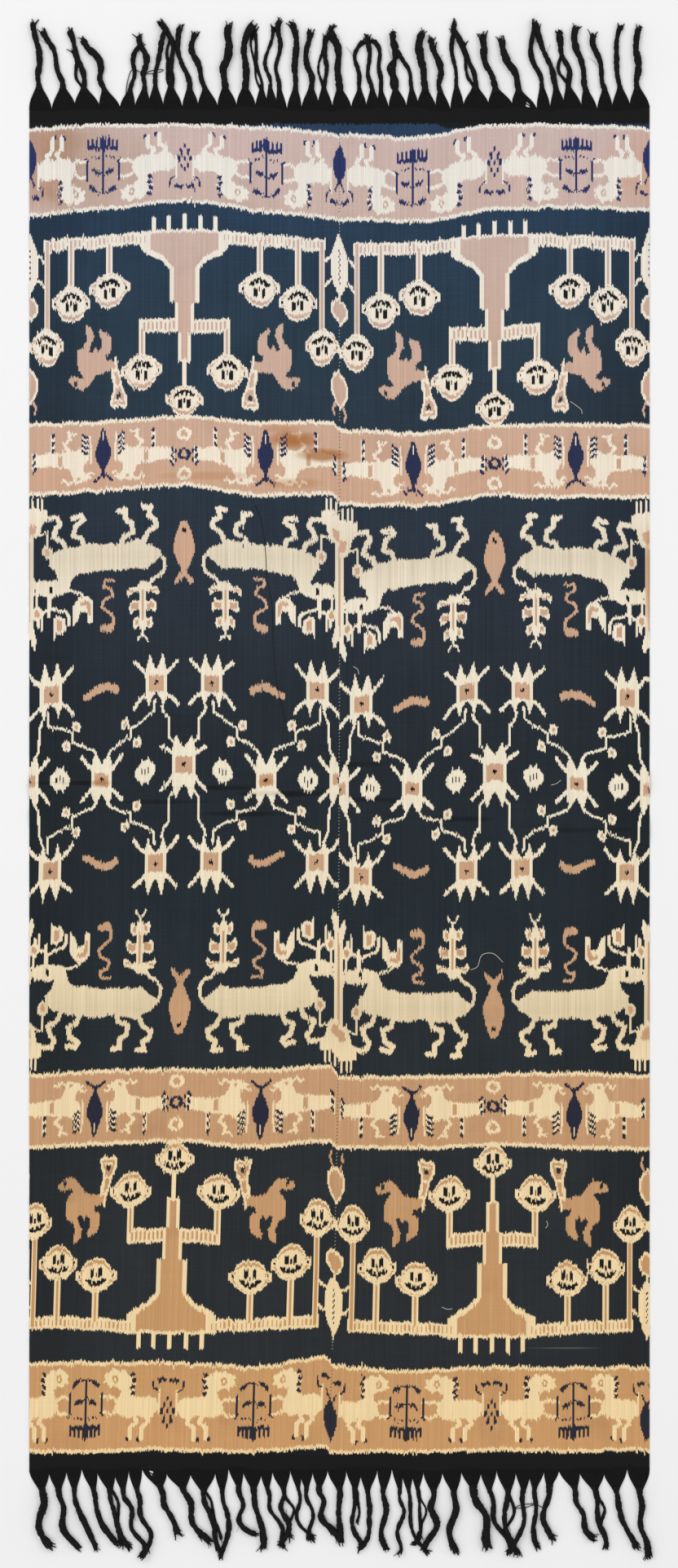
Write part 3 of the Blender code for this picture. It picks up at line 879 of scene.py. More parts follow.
# Gaps between a lock's yarns: (x, y, half width, half height)
fringeHoles = [(0.349, 0.0045, 0.0058, 0.0030)]


def besideHoles(x, y):  # where a yarn runs once it is pushed aside by a gap
    for holeX, holeY, halfX, halfY in fringeHoles:
        across, up = (x - holeX) / halfX, (y - holeY) / halfY
        if up * up < 1 and abs(across) < 2:
            push = halfX * math.sqrt(1 - up * up) * (2 - abs(across)) / 2
            x += push if across > 0 else -push
    return x


def addCone(shape, lock, rng):  # the yarns that draw together from the lock's root into its cord
    width = lock.right - lock.left
    middleX = (lock.left + lock.right) / 2
    yarns = max(cone["fewest"], round(width / fringe["yarn"]))
    radius = width / yarns * cone["girth"]
    neck = lock.cordWidth * cone["neck"] / width
    low, more = cone["lift"]
    for i in range(yarns):
        share = (i + 0.5) / yarns
        rootX = lock.left + width * share
        rootY = lock.leftNotch + (lock.rightNotch - lock.leftNotch) * share
        gather = fringe["coneShare"] * (1.0 + rng.uniform(-cone["spread"], cone["spread"]))
        swell = more * math.cos(math.pi * (share - 0.5)) * rng.uniform(*cone["liftSpread"])
        lift = lock.cordWidth * (low + swell)
        points, radii = [], []
        for k in range(cone["steps"] + 1):
            t = k / cone["steps"]
            arch = t ** cone["bow"]
            ease = arch * arch * (3 - 2 * arch)
            centre = lockCentre(lock, gather * t)
            x = centre.x + (rootX - middleX) * (1 - (1 - neck) * ease)
            y = (rootY - cone["overlap"]) * (1 - t) + centre.y
            z = radius + (lift - radius) * ease + cone["wobble"] * rng.uniform(-1, 1)
            points.append(Vector((besideHoles(x, y), y, max(radius * cone["clear"], z))))
            radii.append(radius * (1.0 - cone["thinning"] * t))
        addTube(shape, points, radii, 4)


# One twisted cord, from inside its cone to its frayed tip
cordShape = {
    "begin": 0.70,  # of the cone's length
    "turnsAside": (0.55, 0.45),  # of the cord's run: where its tip starts to hook, and over how much
    "swells": ((0.11, 8, 5), (0.07, 23, 3)),  # of the width: how much, how many, and how they are set off
    "flare": 0.10,
    "lift": 0.48,  # of the width
    "length": 0.75,  # of the lock's reach
    "step": 0.0032,
    "fewestSteps": 20,
    "plies": ((0.40, 0.12, 0.0, 7), (0.36, 0.15, math.pi, 7)),  # radius and offset in widths, turn, sides
    "wound": (0.075, 0.47, 5, 3),  # yarns wound round the plies: radius, offset, how many, sides
    "woundPace": (0.85, 1.15),
    "uneven": (0.7, 0.35),  # of the twist: how far it runs ahead or behind, and how often
    "flat": 0.8,  # height of the twist for its width
    "rough": 0.06,
    "clear": 1.1,  # a ply's middle stays this many radii above the floor
}


def cordLine(lock, cord, steps):  # the cord's middle, its run and its width at stations
    start, stop = fringe["coneShare"] * cordShape["begin"], cord["stop"]
    hookFrom, hookOver = cordShape["turnsAside"]
    line = []
    for i in range(steps + 1):
        s = i / steps
        t = start + (stop - start) * s
        run = runAt(lock, t)
        across = Vector((run.y, -run.x, 0.0))
        late = max(0.0, (s - hookFrom) / hookOver)
        side = cord["apart"] * math.sin(math.pi * s) + cord["hook"] * late * late
        side += cord["snake"] * math.sin(2 * math.pi * cord["waves"] * s + cord["phase"]) * min(1.0, 3 * s)
        swell = 1
        for much, often, offset in cordShape["swells"]:
            swell += much * math.sin(often * s + offset * cord["phase"])
        width = lock.cordWidth * cord["thin"] * swell * (1 + cordShape["flare"] * s)
        lift = cordShape["lift"] * width + cord["over"] * late
        line.append((lockCentre(lock, t) + across * side + Vector((0, 0, lift)), width))
    runs = [line[min(i + 1, steps)][0] - line[max(i - 1, 0)][0] for i in range(steps + 1)]
    return [(point, width, run.normalized()) for (point, width), run in zip(line, runs)]


def addCord(shape, lock, cord, rng):  # two uneven plies, matted, with a few yarns wound round them
    length = cordShape["length"]
    steps = max(cordShape["fewestSteps"], int(lock.reach * length / cordShape["step"]))
    line = cordLine(lock, cord, steps)
    woundThick, woundOut, woundCount, woundSides = cordShape["wound"]
    plies = list(cordShape["plies"])
    plies += [(woundThick, woundOut, rng.uniform(0, 2 * math.pi), woundSides) for _ in range(woundCount)]
    ahead, often = cordShape["uneven"]
    for ply, (thick, out, turn, sides) in enumerate(plies):
        points, radii = [], []
        pace = rng.uniform(*cordShape["woundPace"]) if ply > 1 else 1.0
        for i, (point, width, run) in enumerate(line):
            across = Vector((run.y, -run.x, 0.0)).normalized()
            angle = 2 * math.pi * pace * lock.reach * length * i / steps / fringe["twist"]
            angle += turn + cord["phase"]
            angle += ahead * math.sin(often * i + cord["phase"])
            rise = math.sin(angle) * out * width * cordShape["flat"]
            spot = point + (across * math.cos(angle) * out * width + Vector((0, 0, rise)))
            spot.z = max(thick * width * cordShape["clear"], spot.z)
            points.append(spot)
            radii.append(thick * width * (1 + rng.uniform(-cordShape["rough"], cordShape["rough"])))
        addTube(shape, points, radii, sides)
    return line


# Frayed yarn ends
fray = {
    "lean": 0.35,
    "curl": 0.45,
    "stations": 5,
    "droop": 0.55,
    "taper": 0.6,
    "clear": 1.1,
    "across": 0.42,  # of the cord's width
    "up": 0.3,
    "back": 0.003,  # how far inside the cord they begin
    "length": (0.006, 0.014),
    "radius": (0.0016, 0.0030),
    "nearTip": 1.5,  # above 1 they crowd towards the tip
}


def addHair(shape, begin, run, length, radius, rng):  # one frayed yarn end
    across = Vector((run.y, -run.x, 0.0))
    lean = rng.uniform(-fray["lean"], fray["lean"])
    curl = rng.uniform(-fray["curl"], fray["curl"])
    last = fray["stations"] - 1
    points = []
    for k in range(last + 1):
        t = k / last
        point = begin + run * length * t + across * length * (lean * t + curl * t * t)
        height = max(radius * fray["clear"], begin.z * (1 - fray["droop"] * t))
        points.append(Vector((point.x, point.y, height)))
    addTube(shape, points, [radius * (1 - fray["taper"] * k / last) for k in range(last + 1)], 3)


def addTuft(shape, line, cord, rng):  # the cord's end, loosened into clumps of yarn
    for _ in range(cord["hairs"]):
        back = int(len(line) * cord["fray"] * rng.random() ** fray["nearTip"])
        point, width, run = line[min(len(line) - 1, len(line) - 1 - back)]
        across = Vector((run.y, -run.x, 0.0))
        begin = point + across * rng.uniform(-fray["across"], fray["across"]) * width
        begin = begin + Vector((0, 0, rng.uniform(-fray["up"], fray["up"]) * width))
        length, radius = rng.uniform(*fray["length"]), rng.uniform(*fray["radius"])
        addHair(shape, begin - run * fray["back"], run, length, radius, rng)


# How the locks differ
variety = {
    "wild": {1: 1.25, -1: 1.5},  # the lower fringe lies less tidily
    "hook": 0.014,
    "over": 0.005,
    "snake": (0.0015, 0.0042),
    "waves": (0.8, 1.7),
    "phase": (0, 6.28),
    "thin": (0.68, 1.02),
    "stop": (0.88, 0.97),
    "hairs": (9, 16),
    "fray": (0.05, 0.11),
    "wornShare": 0.28,
    "worn": {"hairs": 30, "fray": 0.20},
}
thickHalf = {"apart": 0.0035, "thin": 0.72}
slimHalf = {"apart": -0.0075, "thin": 0.42, "hairs": 5, "fray": 0.04}
slimStop, slimHook, slimTurn = (0.62, 0.9), (-0.004, 0.006), 2
# Locks whose tips lean over the next one's: by number, how far each tip is drawn sideways
crossings = {1: -0.012, 6: 0.014, 7: -0.011, 14: 0.012, 15: -0.009, 22: 0.013, 23: -0.012, 30: 0.011,
             31: -0.010}


def planCords(i, end, rng):  # how the lock's yarns part into one cord or two
    wild = variety["wild"][end]
    meets = crossings.get(i, 0.0)
    full = {
        "apart": 0.0,
        "hook": meets or wild * rng.uniform(-variety["hook"], variety["hook"]),
        "over": variety["over"] if meets > 0 else 0.0,
        "snake": wild * rng.uniform(*variety["snake"]),
        "waves": rng.uniform(*variety["waves"]),
        "phase": rng.uniform(*variety["phase"]),
        "thin": rng.uniform(*variety["thin"]),
        "stop": rng.uniform(*variety["stop"]),
        "hairs": rng.randint(*variety["hairs"]),
        "fray": rng.uniform(*variety["fray"]),
    }
    if rng.random() < variety["wornShare"]:
        full.update(variety["worn"])
    if i % 5 != 2:
        return [full]
    slim = {**full, **slimHalf, "phase": full["phase"] + slimTurn, "stop": rng.uniform(*slimStop),
            "hook": rng.uniform(*slimHook)}
    return [{**full, **thickHalf}, slim]


# A loose yarn that loops between the locks
loopYarn = {
    "run": [(-0.397, 0.015), (-0.393, 0.049), (-0.3835, 0.0706), (-0.364, 0.064), (-0.345, 0.0692),
            (-0.3277, 0.0705), (-0.3300, 0.0665), (-0.345, 0.0629), (-0.362, 0.0618)],
    "height": 0.0022,
    "radius": 0.0009,
}


def addHeading(shape, locks):  # the strip of cloth that the locks grow out of
    columns = np.linspace(-cloth["width"] / 2, cloth["width"] / 2, fringe["columns"])
    roots = [lock.left for lock in locks] + [locks[-1].right]
    notches = [lock.leftNotch for lock in locks] + [locks[-1].rightNotch]
    front = np.interp(columns, roots, notches)
    inner = -cloth["headingDepth"]
    depths = (inner - fringe["tuck"], inner + fringe["firstRow"], *fringe["rows"])
    start = len(shape["verts"])
    columns = [columns[0], *columns, columns[-1]]
    front = [front[0], *front, front[-1]]
    for k, (x, end) in enumerate(zip(columns, front)):
        rise = fringe["ribs"] * (k % 2)
        edge = k in (0, len(columns) - 1)
        for depth in depths:
            y = depth if depth < 0 else end
            tucked = fringe["tuckDepth"] if depth == depths[0] else 0.0
            top = cloth["thickness"] + (rise if depth > fringe["ribsFrom"] else 0.0) - tucked
            shape["verts"].append(Vector((x, y, cloth["underside"] if edge else top)))
    rows = len(depths)
    for i in range(len(columns) - 1):
        for k in range(rows - 1):
            low = start + i * rows + k
            shape["faces"].append((low, low + rows, low + rows + 1, low + 1))


def makeFringe(name, end):
    rng = random.Random(fringe["seed"] * 7 + end)
    locks = planLocks()
    shape = {"verts": [], "faces": []}
    addHeading(shape, locks)
    for i, lock in enumerate(locks):
        addCone(shape, lock, rng)
        for cord in planCords(i, end, rng):
            addTuft(shape, addCord(shape, lock, cord, rng), cord, rng)
        if i % 3 == 1:
            point, run = lockPoint(lock, rng.uniform(*fringe["overhang"]))
            addHair(shape, point, run, rng.uniform(*fringe["strayHair"]), fringe["strayRadius"], rng)
    loop = [Vector(spot) for spot in curved(loopYarn["run"], loopYarn["height"])]
    addTube(shape, loop, [loopYarn["radius"]] * len(loop), 3)
    verts = np.array([tuple(v) for v in shape["verts"]])
    if end < 0:
        verts[:, :2] *= -1
    verts[:, 1] += end * cloth["wovenLength"] / 2
    return addPiece(name + "_yarn", verts, shape["faces"])


fringes = {name: makeFringe(name, end) for name, end in (("fringe_top", 1), ("fringe_bottom", -1))}
print("fringes twisted:", {n: sum(len(f.vertices) - 2 for f in p.data.polygons) for n, p in fringes.items()})

# Sewing: the seam's running stitches, and a few loose threads that lie on the cloth
sewing = {
    "pitch": 0.0064,
    "paceSpread": (0.9, 1.1),
    "span": 0.0022,
    "fromEnd": 0.006,
    "wander": 0.0004,
    "lean": (0.0002, 0.0012),
    "dip": -0.0002,  # height of a stitch's ends over the cloth's face
    "rise": 0.0004,
    "darkRadius": 0.00048,
    "paleRadius": 0.000384,
    "seed": 5,
}
# Where the seam crosses pale bands, as stretches of Y; its stitches are dark there
paleStretches = [(-1.200, -1.040), (-0.670, -0.520), (0.540, 0.680), (1.070, 1.240)]
looseThreads = {  # run of each loose thread in plan
    "long": [(0.243, -0.335), (0.256, -0.329), (0.264, -0.308), (0.285, -0.305), (0.303, -0.321)],
    "nearMiddle": [(0.026, 0.227), (0.034, 0.221), (0.036, 0.212)],
    "nearStar": [(0.392, 0.007), (0.402, 0.010), (0.410, 0.016)],
    "byHead": [(0.428, 0.718), (0.438, 0.711), (0.448, 0.703), (0.450, 0.695)],
    "lowRight": [(0.190, -0.960), (0.200, -0.964), (0.209, -0.963)],
    "byStem": [(0.384, -0.800), (0.386, -0.808), (0.382, -0.814)],
    "seamLeft": [(-0.012, 0.507), (-0.004, 0.513), (0.006, 0.516)],
}
darkThread = [(-0.156, 0.525), (-0.144, 0.493), (-0.137, 0.440), (-0.134, 0.389), (-0.125, 0.339),
              (-0.122, 0.255), (-0.114, 0.185), (-0.099, 0.123)]
threadLies = {"pale": (0.0004, 0.0005), "dark": (0.0001, 0.0007)}  # height over the cloth's face, and radius


def threadMesh(name, runs, radius):
    shape = {"verts": [], "faces": []}
    for run in runs:
        points = [Vector((x, y, float(clothTop(x, y)) + lift)) for x, y, lift in run]
        addTube(shape, points, [radius] * len(points), 5)
    return addPiece(name, np.array([tuple(v) for v in shape["verts"]]), shape["faces"])


def seamStitches():  # dark ones where the seam crosses pale bands, and pale ones elsewhere
    rng = random.Random(sewing["seed"])
    dark, pale = [], []
    half, dip = sewing["span"] / 2, sewing["dip"]
    y = -panelEnd + sewing["fromEnd"]
    while y < panelEnd - sewing["fromEnd"]:
        x = float(along(seamLine, y)) + rng.uniform(-sewing["wander"], sewing["wander"])
        lean = rng.uniform(*sewing["lean"])
        run = [(x - half, y - lean, dip), (x, y, sewing["rise"]), (x + half, y + lean, dip)]
        onPale = any(low < y < high for low, high in paleStretches)
        (dark if onPale else pale).append(run)
        y += sewing["pitch"] * rng.uniform(*sewing["paceSpread"])
    return {
        "seam_stitches_dark": threadMesh("seam_stitches_dark", dark, sewing["darkRadius"]),
        "seam_stitches_pale": threadMesh("seam_stitches_pale", pale, sewing["paleRadius"]),
    }


def layThreads(name, runs, kind):
    lift, radius = threadLies[kind]
    return threadMesh(name, [curved(run, lift) for run in runs], radius)


stitches = seamStitches()
loosePale = layThreads("loose_threads", looseThreads.values(), "pale")
looseDark = layThreads("loose_dark_thread", [darkThread], "dark")
print("sewing done")


# Finishes

class Feed:  # a shader socket that takes part in sums
    def __init__(self, tree, socket=None):
        self.tree = tree
        self.socket = socket

    def node(self, kind, settings=None, inputs=None, out=0):
        made = self.tree.nodes.new(kind)
        for name, value in (settings or {}).items():
            if name == "stops":
                ramp = made.color_ramp
                while len(ramp.elements) < len(value):
                    ramp.elements.new(1.0)
                for element, (place, colour) in zip(ramp.elements, value):
                    element.position = place
                    element.color = colour
            else:
                setattr(made, name, value)
        for name, value in (inputs or {}).items():
            if isinstance(value, Feed):
                self.tree.links.new(value.socket, made.inputs[name])
            else:
                made.inputs[name].default_value = value
        return Feed(self.tree, made.outputs[out])

    def maths(self, operation, *values, clamp=False):
        settings = {"operation": operation, "use_clamp": clamp}
        return self.node("ShaderNodeMath", settings, dict(enumerate(values)))

    def __add__(self, other):
        return self.maths("ADD", self, other)

    def __sub__(self, other):
        return self.maths("SUBTRACT", self, other)

    def __rsub__(self, other):
        return self.maths("SUBTRACT", other, self)

    def __mul__(self, other):
        return self.maths("MULTIPLY", self, other)

    def __truediv__(self, other):
        return self.maths("DIVIDE", self, other)

    def __rtruediv__(self, other):
        return self.maths("DIVIDE", other, self)

    __radd__ = __add__
    __rmul__ = __mul__

    def clamped(self):
        return self.maths("ADD", self, 0.0, clamp=True)

    def mixed(self, share, other):  # this colour, turned into the other by a share
        return self.node("ShaderNodeMix", {"data_type": "RGBA"}, {0: share, 6: self, 7: other}, 2)

    def scaled(self, value):  # a colour or vector times a number
        return self.node("ShaderNodeVectorMath", {"operation": "SCALE"}, {0: self, "Scale": value})

    def stretched(self, x, y, z):
        return self.node("ShaderNodeVectorMath", {"operation": "MULTIPLY"}, {0: self, 1: (x, y, z)})

    def paint(self, screen):
        return self.node("ShaderNodeCombineColor", inputs=dict(enumerate(colour(*screen)[:3])))

    def noise(self, scale, detail=2.0):
        return self.node("ShaderNodeTexNoise", {}, {"Vector": self, "Scale": scale, "Detail": detail})


def colour(red, green, blue):  # from screen values to the renderer's own
    parts = [value / 255 for value in (red, green, blue)]
    return (*[p / 12.92 if p <= 0.04045 else ((p + 0.055) / 1.055) ** 2.4 for p in parts], 1.0)


def newFinish(name, roughness):
    material = bpy.data.materials.new(name)
    material.use_nodes = True
    tree = material.node_tree
    shader = tree.nodes["Principled BSDF"]
    shader.inputs["Roughness"].default_value = roughness
    shader.inputs["Specular IOR Level"].default_value = 0.25
    feed = Feed(tree)
    place = feed.node("ShaderNodeTexCoord", out=3)
    return material, shader, feed, place


# Each dye along the cloth; its shift from the lower end to the upper is painted light, cooler and brighter
# towards the upper end and warmer towards the lower: (share of the length from the lower end, colour)
dyeAndPaintedLight = {
    "indigo": [(0.00, (38, 41, 44)), (0.18, (38, 42, 45)), (0.40, (30, 39, 45)), (0.52, (30, 38, 44)),
               (0.65, (37, 46, 57)), (0.84, (37, 55, 70)), (1.00, (35, 58, 86))],
    "cream": [(0.00, (240, 212, 160)), (0.30, (238, 215, 173)), (0.50, (236, 226, 202)),
              (0.78, (238, 226, 206)), (1.00, (228, 225, 218))],
    "salmon": [(0.00, (203, 152, 101)), (0.10, (196, 148, 98)), (0.24, (194, 149, 108)),
               (0.50, (198, 158, 126)), (0.73, (202, 163, 137)), (0.88, (198, 171, 158)),
               (1.00, (200, 177, 172))],
    "accent": [(0.00, (38, 38, 48)), (0.40, (34, 36, 54)), (0.75, (37, 44, 76)), (1.00, (38, 49, 98))],
    "black": (17, 19, 21),
    "tan": (186, 170, 138),  # of the animals' bodies near the cloth's middle
    "roughness": 0.92,
}
rust = (176, 116, 54)
deepRust = (166, 104, 46)
# painted shade: the dark colour laid along the creases
shade = (11, 13, 16)
# Rust, water marks and faded stretches: (x, y, half width, half height, strength, colour)
stains = {
    "leftStar": (-0.441, 0.011, 0.020, 0.010, 0.75, rust),
    "innerStar": (-0.135, 0.013, 0.018, 0.010, 0.75, rust),
    "birdHead": (-0.090, 0.646, 0.050, 0.020, 0.92, deepRust),
    "birdBack": (-0.035, 0.618, 0.050, 0.013, 0.85, deepRust),
    "bandTop": (-0.110, 0.668, 0.045, 0.010, 0.45, rust),
    "bandFoot": (-0.085, 0.566, 0.060, 0.012, 0.55, rust),
    "bandLeft": (-0.250, 0.580, 0.110, 0.009, 0.35, rust),
    "rightEdge": (0.572, 0.380, 0.006, 0.110, 0.60, rust),
}
# Painted shade along the sharp creases, standing in for their shadows, and a pale scuff, in the same terms
creaseShadeAndScuff = {
    "farLeft": (-0.500, 0.011, 0.130, 0.0050, 0.85, shade),
    "left": (-0.240, 0.002, 0.100, 0.0055, 0.85, shade),
    "innerLeft": (-0.100, -0.009, 0.090, 0.0065, 0.85, shade),
    "leftLow": (-0.330, -0.024, 0.120, 0.0055, 0.66, shade),
    "innerLow": (-0.190, -0.046, 0.100, 0.0055, 0.66, shade),
    "seamRight": (0.060, -0.020, 0.080, 0.0065, 0.72, shade),
    "rightLow": (0.220, -0.056, 0.110, 0.0055, 0.66, shade),
    "rightHigh": (0.035, 0.046, 0.050, 0.0060, 0.58, shade),
    "farRight": (0.450, -0.076, 0.100, 0.0055, 0.52, shade),
    "scuff": (0.412, -1.036, 0.075, 0.0018, 0.35, (120, 116, 106)),
}
# Where the earth dye turned browner: (x, y, half width, half height, strength, colour)
casts = {
    "topLeft": (-0.600, 1.170, 0.130, 0.110, 0.90, (166, 124, 92)),
    "topLeftInner": (-0.440, 1.160, 0.110, 0.120, 0.45, (168, 140, 120)),
    "topRight": (0.590, 1.150, 0.110, 0.110, 0.60, (198, 152, 120)),
}
# Noise over the cloth: stretch along each axis, scale, detail
grain = {
    "fine": ((1, 0.016, 1), 1150.0, 1.0),
    "coarse": ((1, 0.014, 1), 330.0, 2.0),
    "weftWise": ((0.020, 1, 1), 620.0, 1.0),
}
cloudGrain = (9.0, 4.0)
ribs = {"warp": 0.00085, "weft": 0.0015, "level": 0.65, "dip": 0.35, "strength": 0.30, "height": 0.0004}
# How far noise, wear, the darker outer edges and the painted crease shade change the dyes
wearAndShade = {
    "streakContrast": 2.4,
    "streak": 4.0,
    "bite": 5.0,  # how sharply one dye gives way to the other
    "mottle": {"cloud": 0.50, "coarse": 0.50, "weftWise": 0.30},
    "edgeFrom": 0.42,  # metres from the seam
    "edgeGain": 8.0,
    "edgeDark": 0.26,
    "tanRows": (0.0113, 0.420),  # middle of the cloth, and how far from it the animals stand
    "tanFalloff": 11.0,
    "tan": 0.34,
    "tanGrain": (0.42, 0.8),
    "worn": {"fine": (0.52, 2.4), "coarse": (0.5, 1.6)},  # level of each noise, and its gain
    "paleWorn": (0.42, 0.92),  # share of the earth dye that shows, and how dark it is
    "earthWorn": (0.30, 0.74),
    "earthPale": (0.56, 2.0, 0.45),
    "earthCloud": (0.55, 1.6, 0.45),
    "patchEdge": 2.4,
    # how much less of the painted crease shade lies on the pale dyes
    "shadeOnPale": 0.8,
    "bundle": 0.035,
    "fineTone": 0.16,
    "weftTone": 0.10,
}


def axis(feed, place, which):
    return feed.node("ShaderNodeSeparateXYZ", inputs={0: place}, out=which)


def weaveHeight(feed, place):  # plain weave: a ridge for each warp thread, dipping under every other weft
    thread = axis(feed, place, 0) / ribs["warp"]
    odd = feed.maths("FLOOR", feed.maths("MODULO", thread + 4000.0, 2.0))
    ridge = feed.maths("ABSOLUTE", feed.maths("SINE", thread * math.pi))
    weft = feed.maths("SINE", axis(feed, place, 1) / ribs["weft"] * math.pi * 2 + odd * math.pi)
    return ridge * (ribs["level"] + ribs["dip"] * weft)


def clothFinish(name):
    material, shader, feed, place = newFinish(name, dyeAndPaintedLight["roughness"])
    x, y = axis(feed, place, 0), axis(feed, place, 1)
    share = (y + cloth["wovenLength"] / 2) / cloth["wovenLength"]
    dye = {}
    # the ramps along the cloth paint light: cooler and brighter towards the upper end, warmer towards the
    # lower
    for key in ("indigo", "cream", "salmon", "accent"):
        stops = [(stop, colour(*value)) for stop, value in dyeAndPaintedLight[key]]
        dye[key] = feed.node("ShaderNodeValToRGB", {"stops": stops}, {"Fac": share})
    fine, coarse, weftWise = [place.stretched(*stretch).noise(*rest) for stretch, *rest in grain.values()]
    cloud = place.noise(*cloudGrain)
    tone = feed.node("ShaderNodeAttribute", {"attribute_name": "bundleTone"}, out=2)
    amounts = feed.node("ShaderNodeAttribute", {"attribute_name": "dyes"}, out=1)
    creamDye, salmonDye, accentDye = [axis(feed, amounts, i) for i in range(3)]
    blackDye = feed.node("ShaderNodeAttribute", {"attribute_name": "blackDye"}, out=2)
    streak = (((fine - 0.5) * wearAndShade["streakContrast"] + 0.5).clamped() - 0.5) * wearAndShade["streak"]

    def taken(share):  # where a dye took, yarn by yarn
        return ((share - 0.5) * wearAndShade["bite"] + 0.5 + streak).clamped()

    def over(noise, level, gain):
        return ((noise - level) * gain).clamped()

    def wornBack(worn, base, share, dark):  # the earth dye showing through where the yarn is worn
        return base.mixed(worn * share, dye["salmon"].scaled(dark))

    (fineLevel, fineGain), (coarseLevel, coarseGain) = wearAndShade["worn"].values()
    worn = ((fine - fineLevel) * fineGain + (coarse - coarseLevel) * coarseGain).clamped()
    edge = over(feed.maths("ABSOLUTE", x), wearAndShade["edgeFrom"], wearAndShade["edgeGain"])
    mottle = wearAndShade["mottle"]
    mottled = 1.0 + mottle["cloud"] * (cloud - 0.5) + mottle["coarse"] * (coarse - 0.5)
    mottled = mottled + mottle["weftWise"] * (weftWise - 0.5)
    indigo = dye["indigo"].scaled(mottled * (1.0 - wearAndShade["edgeDark"] * edge))
    middle, rows = wearAndShade["tanRows"]
    offRows = feed.maths("ABSOLUTE", feed.maths("ABSOLUTE", y - middle) - rows)
    tanLevel, tanGain = wearAndShade["tanGrain"]
    tanned = (1.0 - offRows * wearAndShade["tanFalloff"]).clamped() * (wearAndShade["tan"] + tanGain * (coarse - tanLevel))
    pale = wornBack(worn, dye["cream"], *wearAndShade["paleWorn"])
    pale = pale.mixed(tanned.clamped(), feed.paint(dyeAndPaintedLight["tan"]))
    paleLevel, paleGain, paleShare = wearAndShade["earthPale"]
    cloudLevel, cloudGain, cloudShare = wearAndShade["earthCloud"]
    earth = wornBack(worn, dye["salmon"], *wearAndShade["earthWorn"])
    earth = earth.mixed(over(coarse, paleLevel, paleGain) * paleShare, dye["cream"])
    earth = earth.scaled(1.0 - cloudShare * over(cloud, cloudLevel, cloudGain))

    def patched(base, patches, share):  # soft-edged patches of another colour
        for spotX, spotY, halfX, halfY, strength, patch in patches.values():
            across = (x - spotX) / halfX
            up = (y - spotY) / halfY
            away = across * across + up * up + (cloud - 0.5) * wearAndShade["patchEdge"]
            base = base.mixed((1.0 - away).clamped() * strength * share, feed.paint(patch))
        return base

    earth = patched(earth, casts, 1.0)
    lit = creamDye + salmonDye
    light = earth.mixed(taken(creamDye / (lit + 0.001)), pale)
    dark = indigo.mixed(taken(accentDye / (1.001 - lit)), dye["accent"])
    dark = dark.mixed(taken(blackDye / (1.001 - lit)), feed.paint(dyeAndPaintedLight["black"]))
    lightShare = taken(lit)
    base = dark.mixed(lightShare, light)
    tint = 1.0 + wearAndShade["bundle"] * tone + wearAndShade["fineTone"] * (fine - 0.5) + wearAndShade["weftTone"] * (weftWise - 0.5)
    base = patched(base.scaled(tint), stains, lightShare)
    # painted shade along the creases, less of it on the pale dyes
    base = patched(base, creaseShadeAndScuff, 1.0 - lightShare * wearAndShade["shadeOnPale"])
    dress(feed, shader, base, weaveHeight(feed, place), ribs["strength"], ribs["height"])
    return material


def dress(feed, shader, base, height, strength, distance):  # colour and relief, joined to the shader
    bump = feed.node("ShaderNodeBump", {}, {"Strength": strength, "Distance": distance, "Height": height})
    feed.tree.links.new(base.socket, shader.inputs["Base Color"])
    feed.tree.links.new(bump.socket, shader.inputs["Normal"])


yarnLook = {
    "roughness": 0.95,
    "stops": (0.35, 0.75),
    "detail": 3.0,
    "fuzz": (2.2, 2.0),  # its scale for the fibre's, and its detail
    "strength": 0.5,
    "height": 0.0004,
}
# Dark and light colour of each yarn, and the scale of its fibre
yarns = {
    "fringe": ((11, 10, 11), (25, 23, 24), 600.0),
    "darkThread": ((24, 24, 30), (40, 40, 48), 900.0),
    "paleThread": ((206, 200, 184), (230, 224, 208), 900.0),
}


def yarnFinish(name, kind):  # dyed yarn, mottled between a darker and a lighter tone by fibre-sized noise
    dark, light, scale = yarns[kind]
    material, shader, feed, place = newFinish(name, yarnLook["roughness"])
    stops = [(stop, colour(*value)) for stop, value in zip(yarnLook["stops"], (dark, light))]
    fibre = place.noise(scale, yarnLook["detail"])
    base = feed.node("ShaderNodeValToRGB", {"stops": stops}, {"Fac": fibre})
    finer, detail = yarnLook["fuzz"]
    dress(feed, shader, base, place.noise(scale * finer, detail), yarnLook["strength"], yarnLook["height"])
    return material


for name, piece in panels.items():
    piece.data.materials.append(clothFinish(name + "_ikat"))
for name, piece in fringes.items():
    piece.data.materials.append(yarnFinish(name + "_cotton", "fringe"))
darkSewing = yarnFinish("dark_sewing_cotton", "darkThread")
paleSewing = yarnFinish("pale_sewing_cotton", "paleThread")
stitches["seam_stitches_dark"].data.materials.append(darkSewing)
stitches["seam_stitches_pale"].data.materials.append(paleSewing)
loosePale.data.materials.append(paleSewing)
looseDark.data.materials.append(darkSewing)
print("finishes made")


# Stage: pale floor, soft light, camera straight above
studio = {
    "floorSize": 14.0,
    "floorColour": (240, 240, 240),
    "floorRoughness": 0.9,
    "skyStrength": 0.72,
    "lens": 100.0,
    "viewLength": 2.906,  # of floor, along the picture's long side
    "lookAt": (-0.0008, 0.0091),
    "sensor": 36.0,
    "farthest": 60.0,
}
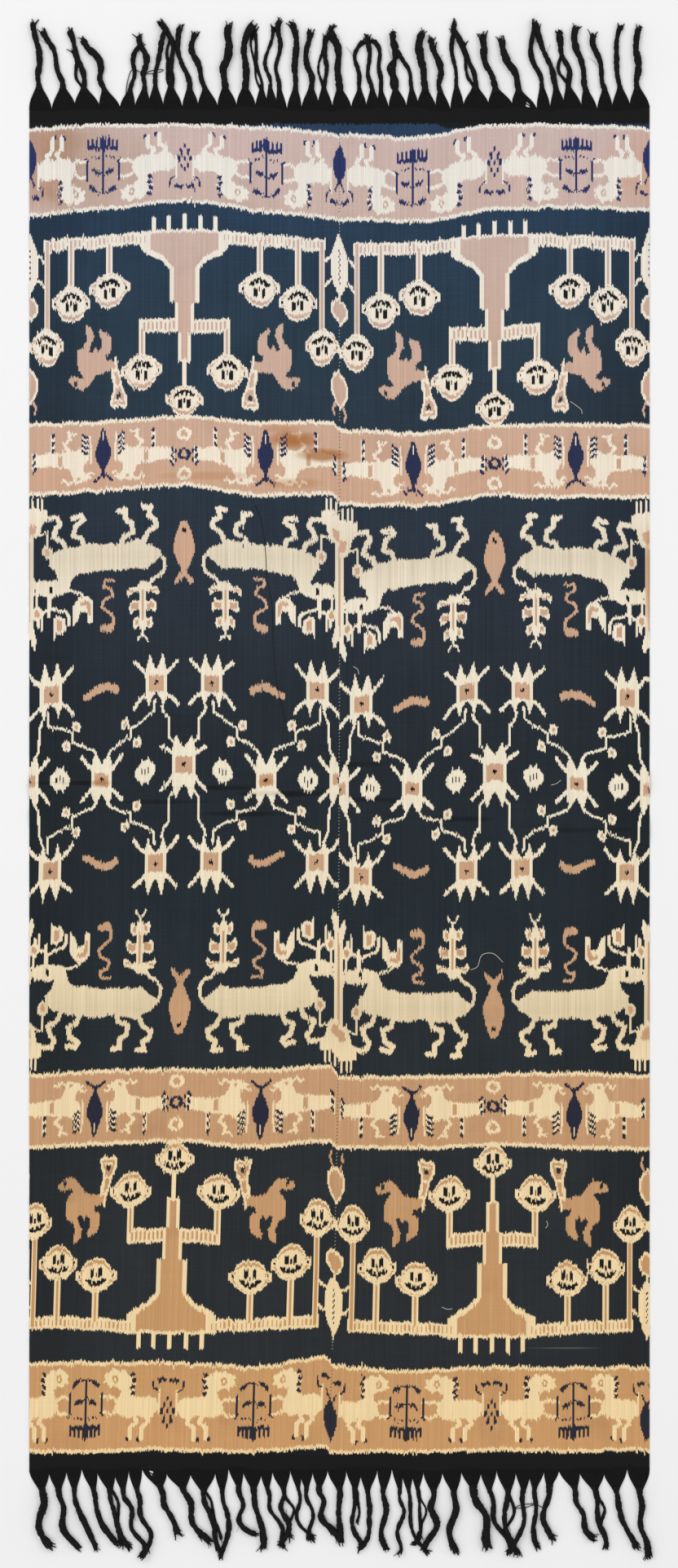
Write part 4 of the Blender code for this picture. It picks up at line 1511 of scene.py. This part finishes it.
# Soft boxes outside the view: (place, size, watts)
softBoxes = {
    "upperLeft": ((-2.6, 2.4, 4.2), 2.2, 60.0),
    "upperRight": ((2.8, 1.6, 4.0), 2.2, 32.0),
    "lower": ((-0.4, -3.6, 3.8), 2.2, 28.0),
}


def makeFloor():
    half = studio["floorSize"] / 2
    corners = [(-half, -half, 0), (half, -half, 0), (half, half, 0), (-half, half, 0)]
    mesh = bpy.data.meshes.new("floor")
    mesh.from_pydata(corners, [], [(0, 1, 2, 3)])
    floor = bpy.data.objects.new("floor", mesh)
    bpy.context.scene.collection.objects.link(floor)
    material, shader, feed, place = newFinish("floor_paint", studio["floorRoughness"])
    shader.inputs["Base Color"].default_value = colour(*studio["floorColour"])
    mesh.materials.append(material)


def makeLights():
    world = bpy.data.worlds.new("studio")
    world.use_nodes = True
    sky = world.node_tree.nodes["Background"]
    sky.inputs["Color"].default_value = (1.0, 1.0, 1.0, 1.0)
    sky.inputs["Strength"].default_value = studio["skyStrength"]
    bpy.context.scene.world = world
    for name, (place, size, watts) in softBoxes.items():
        light = bpy.data.lights.new("soft_box_" + name, "AREA")
        light.size = size
        light.energy = watts
        box = bpy.data.objects.new("soft_box_" + name, light)
        box.location = place
        box.rotation_mode = "QUATERNION"
        box.rotation_quaternion = (-Vector(place)).to_track_quat("-Z", "Y")
        bpy.context.scene.collection.objects.link(box)


def makeCamera():
    lens = bpy.data.cameras.new("camera")
    lens.lens = studio["lens"]
    lens.sensor_width = studio["sensor"]
    lens.clip_end = studio["farthest"]
    camera = bpy.data.objects.new("camera", lens)
    height = studio["viewLength"] * studio["lens"] / studio["sensor"]
    camera.location = (*studio["lookAt"], height)
    bpy.context.scene.collection.objects.link(camera)
    bpy.context.scene.camera = camera


makeFloor()
makeLights()
makeCamera()
bpy.context.scene.view_settings.view_transform = "Standard"
print("stage set")

for name, piece in (*panels.items(), *fringes.items()):
    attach(piece, "root")
    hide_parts(name)
for piece in (*stitches.values(), loosePale, looseDark):
    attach(piece, "root")
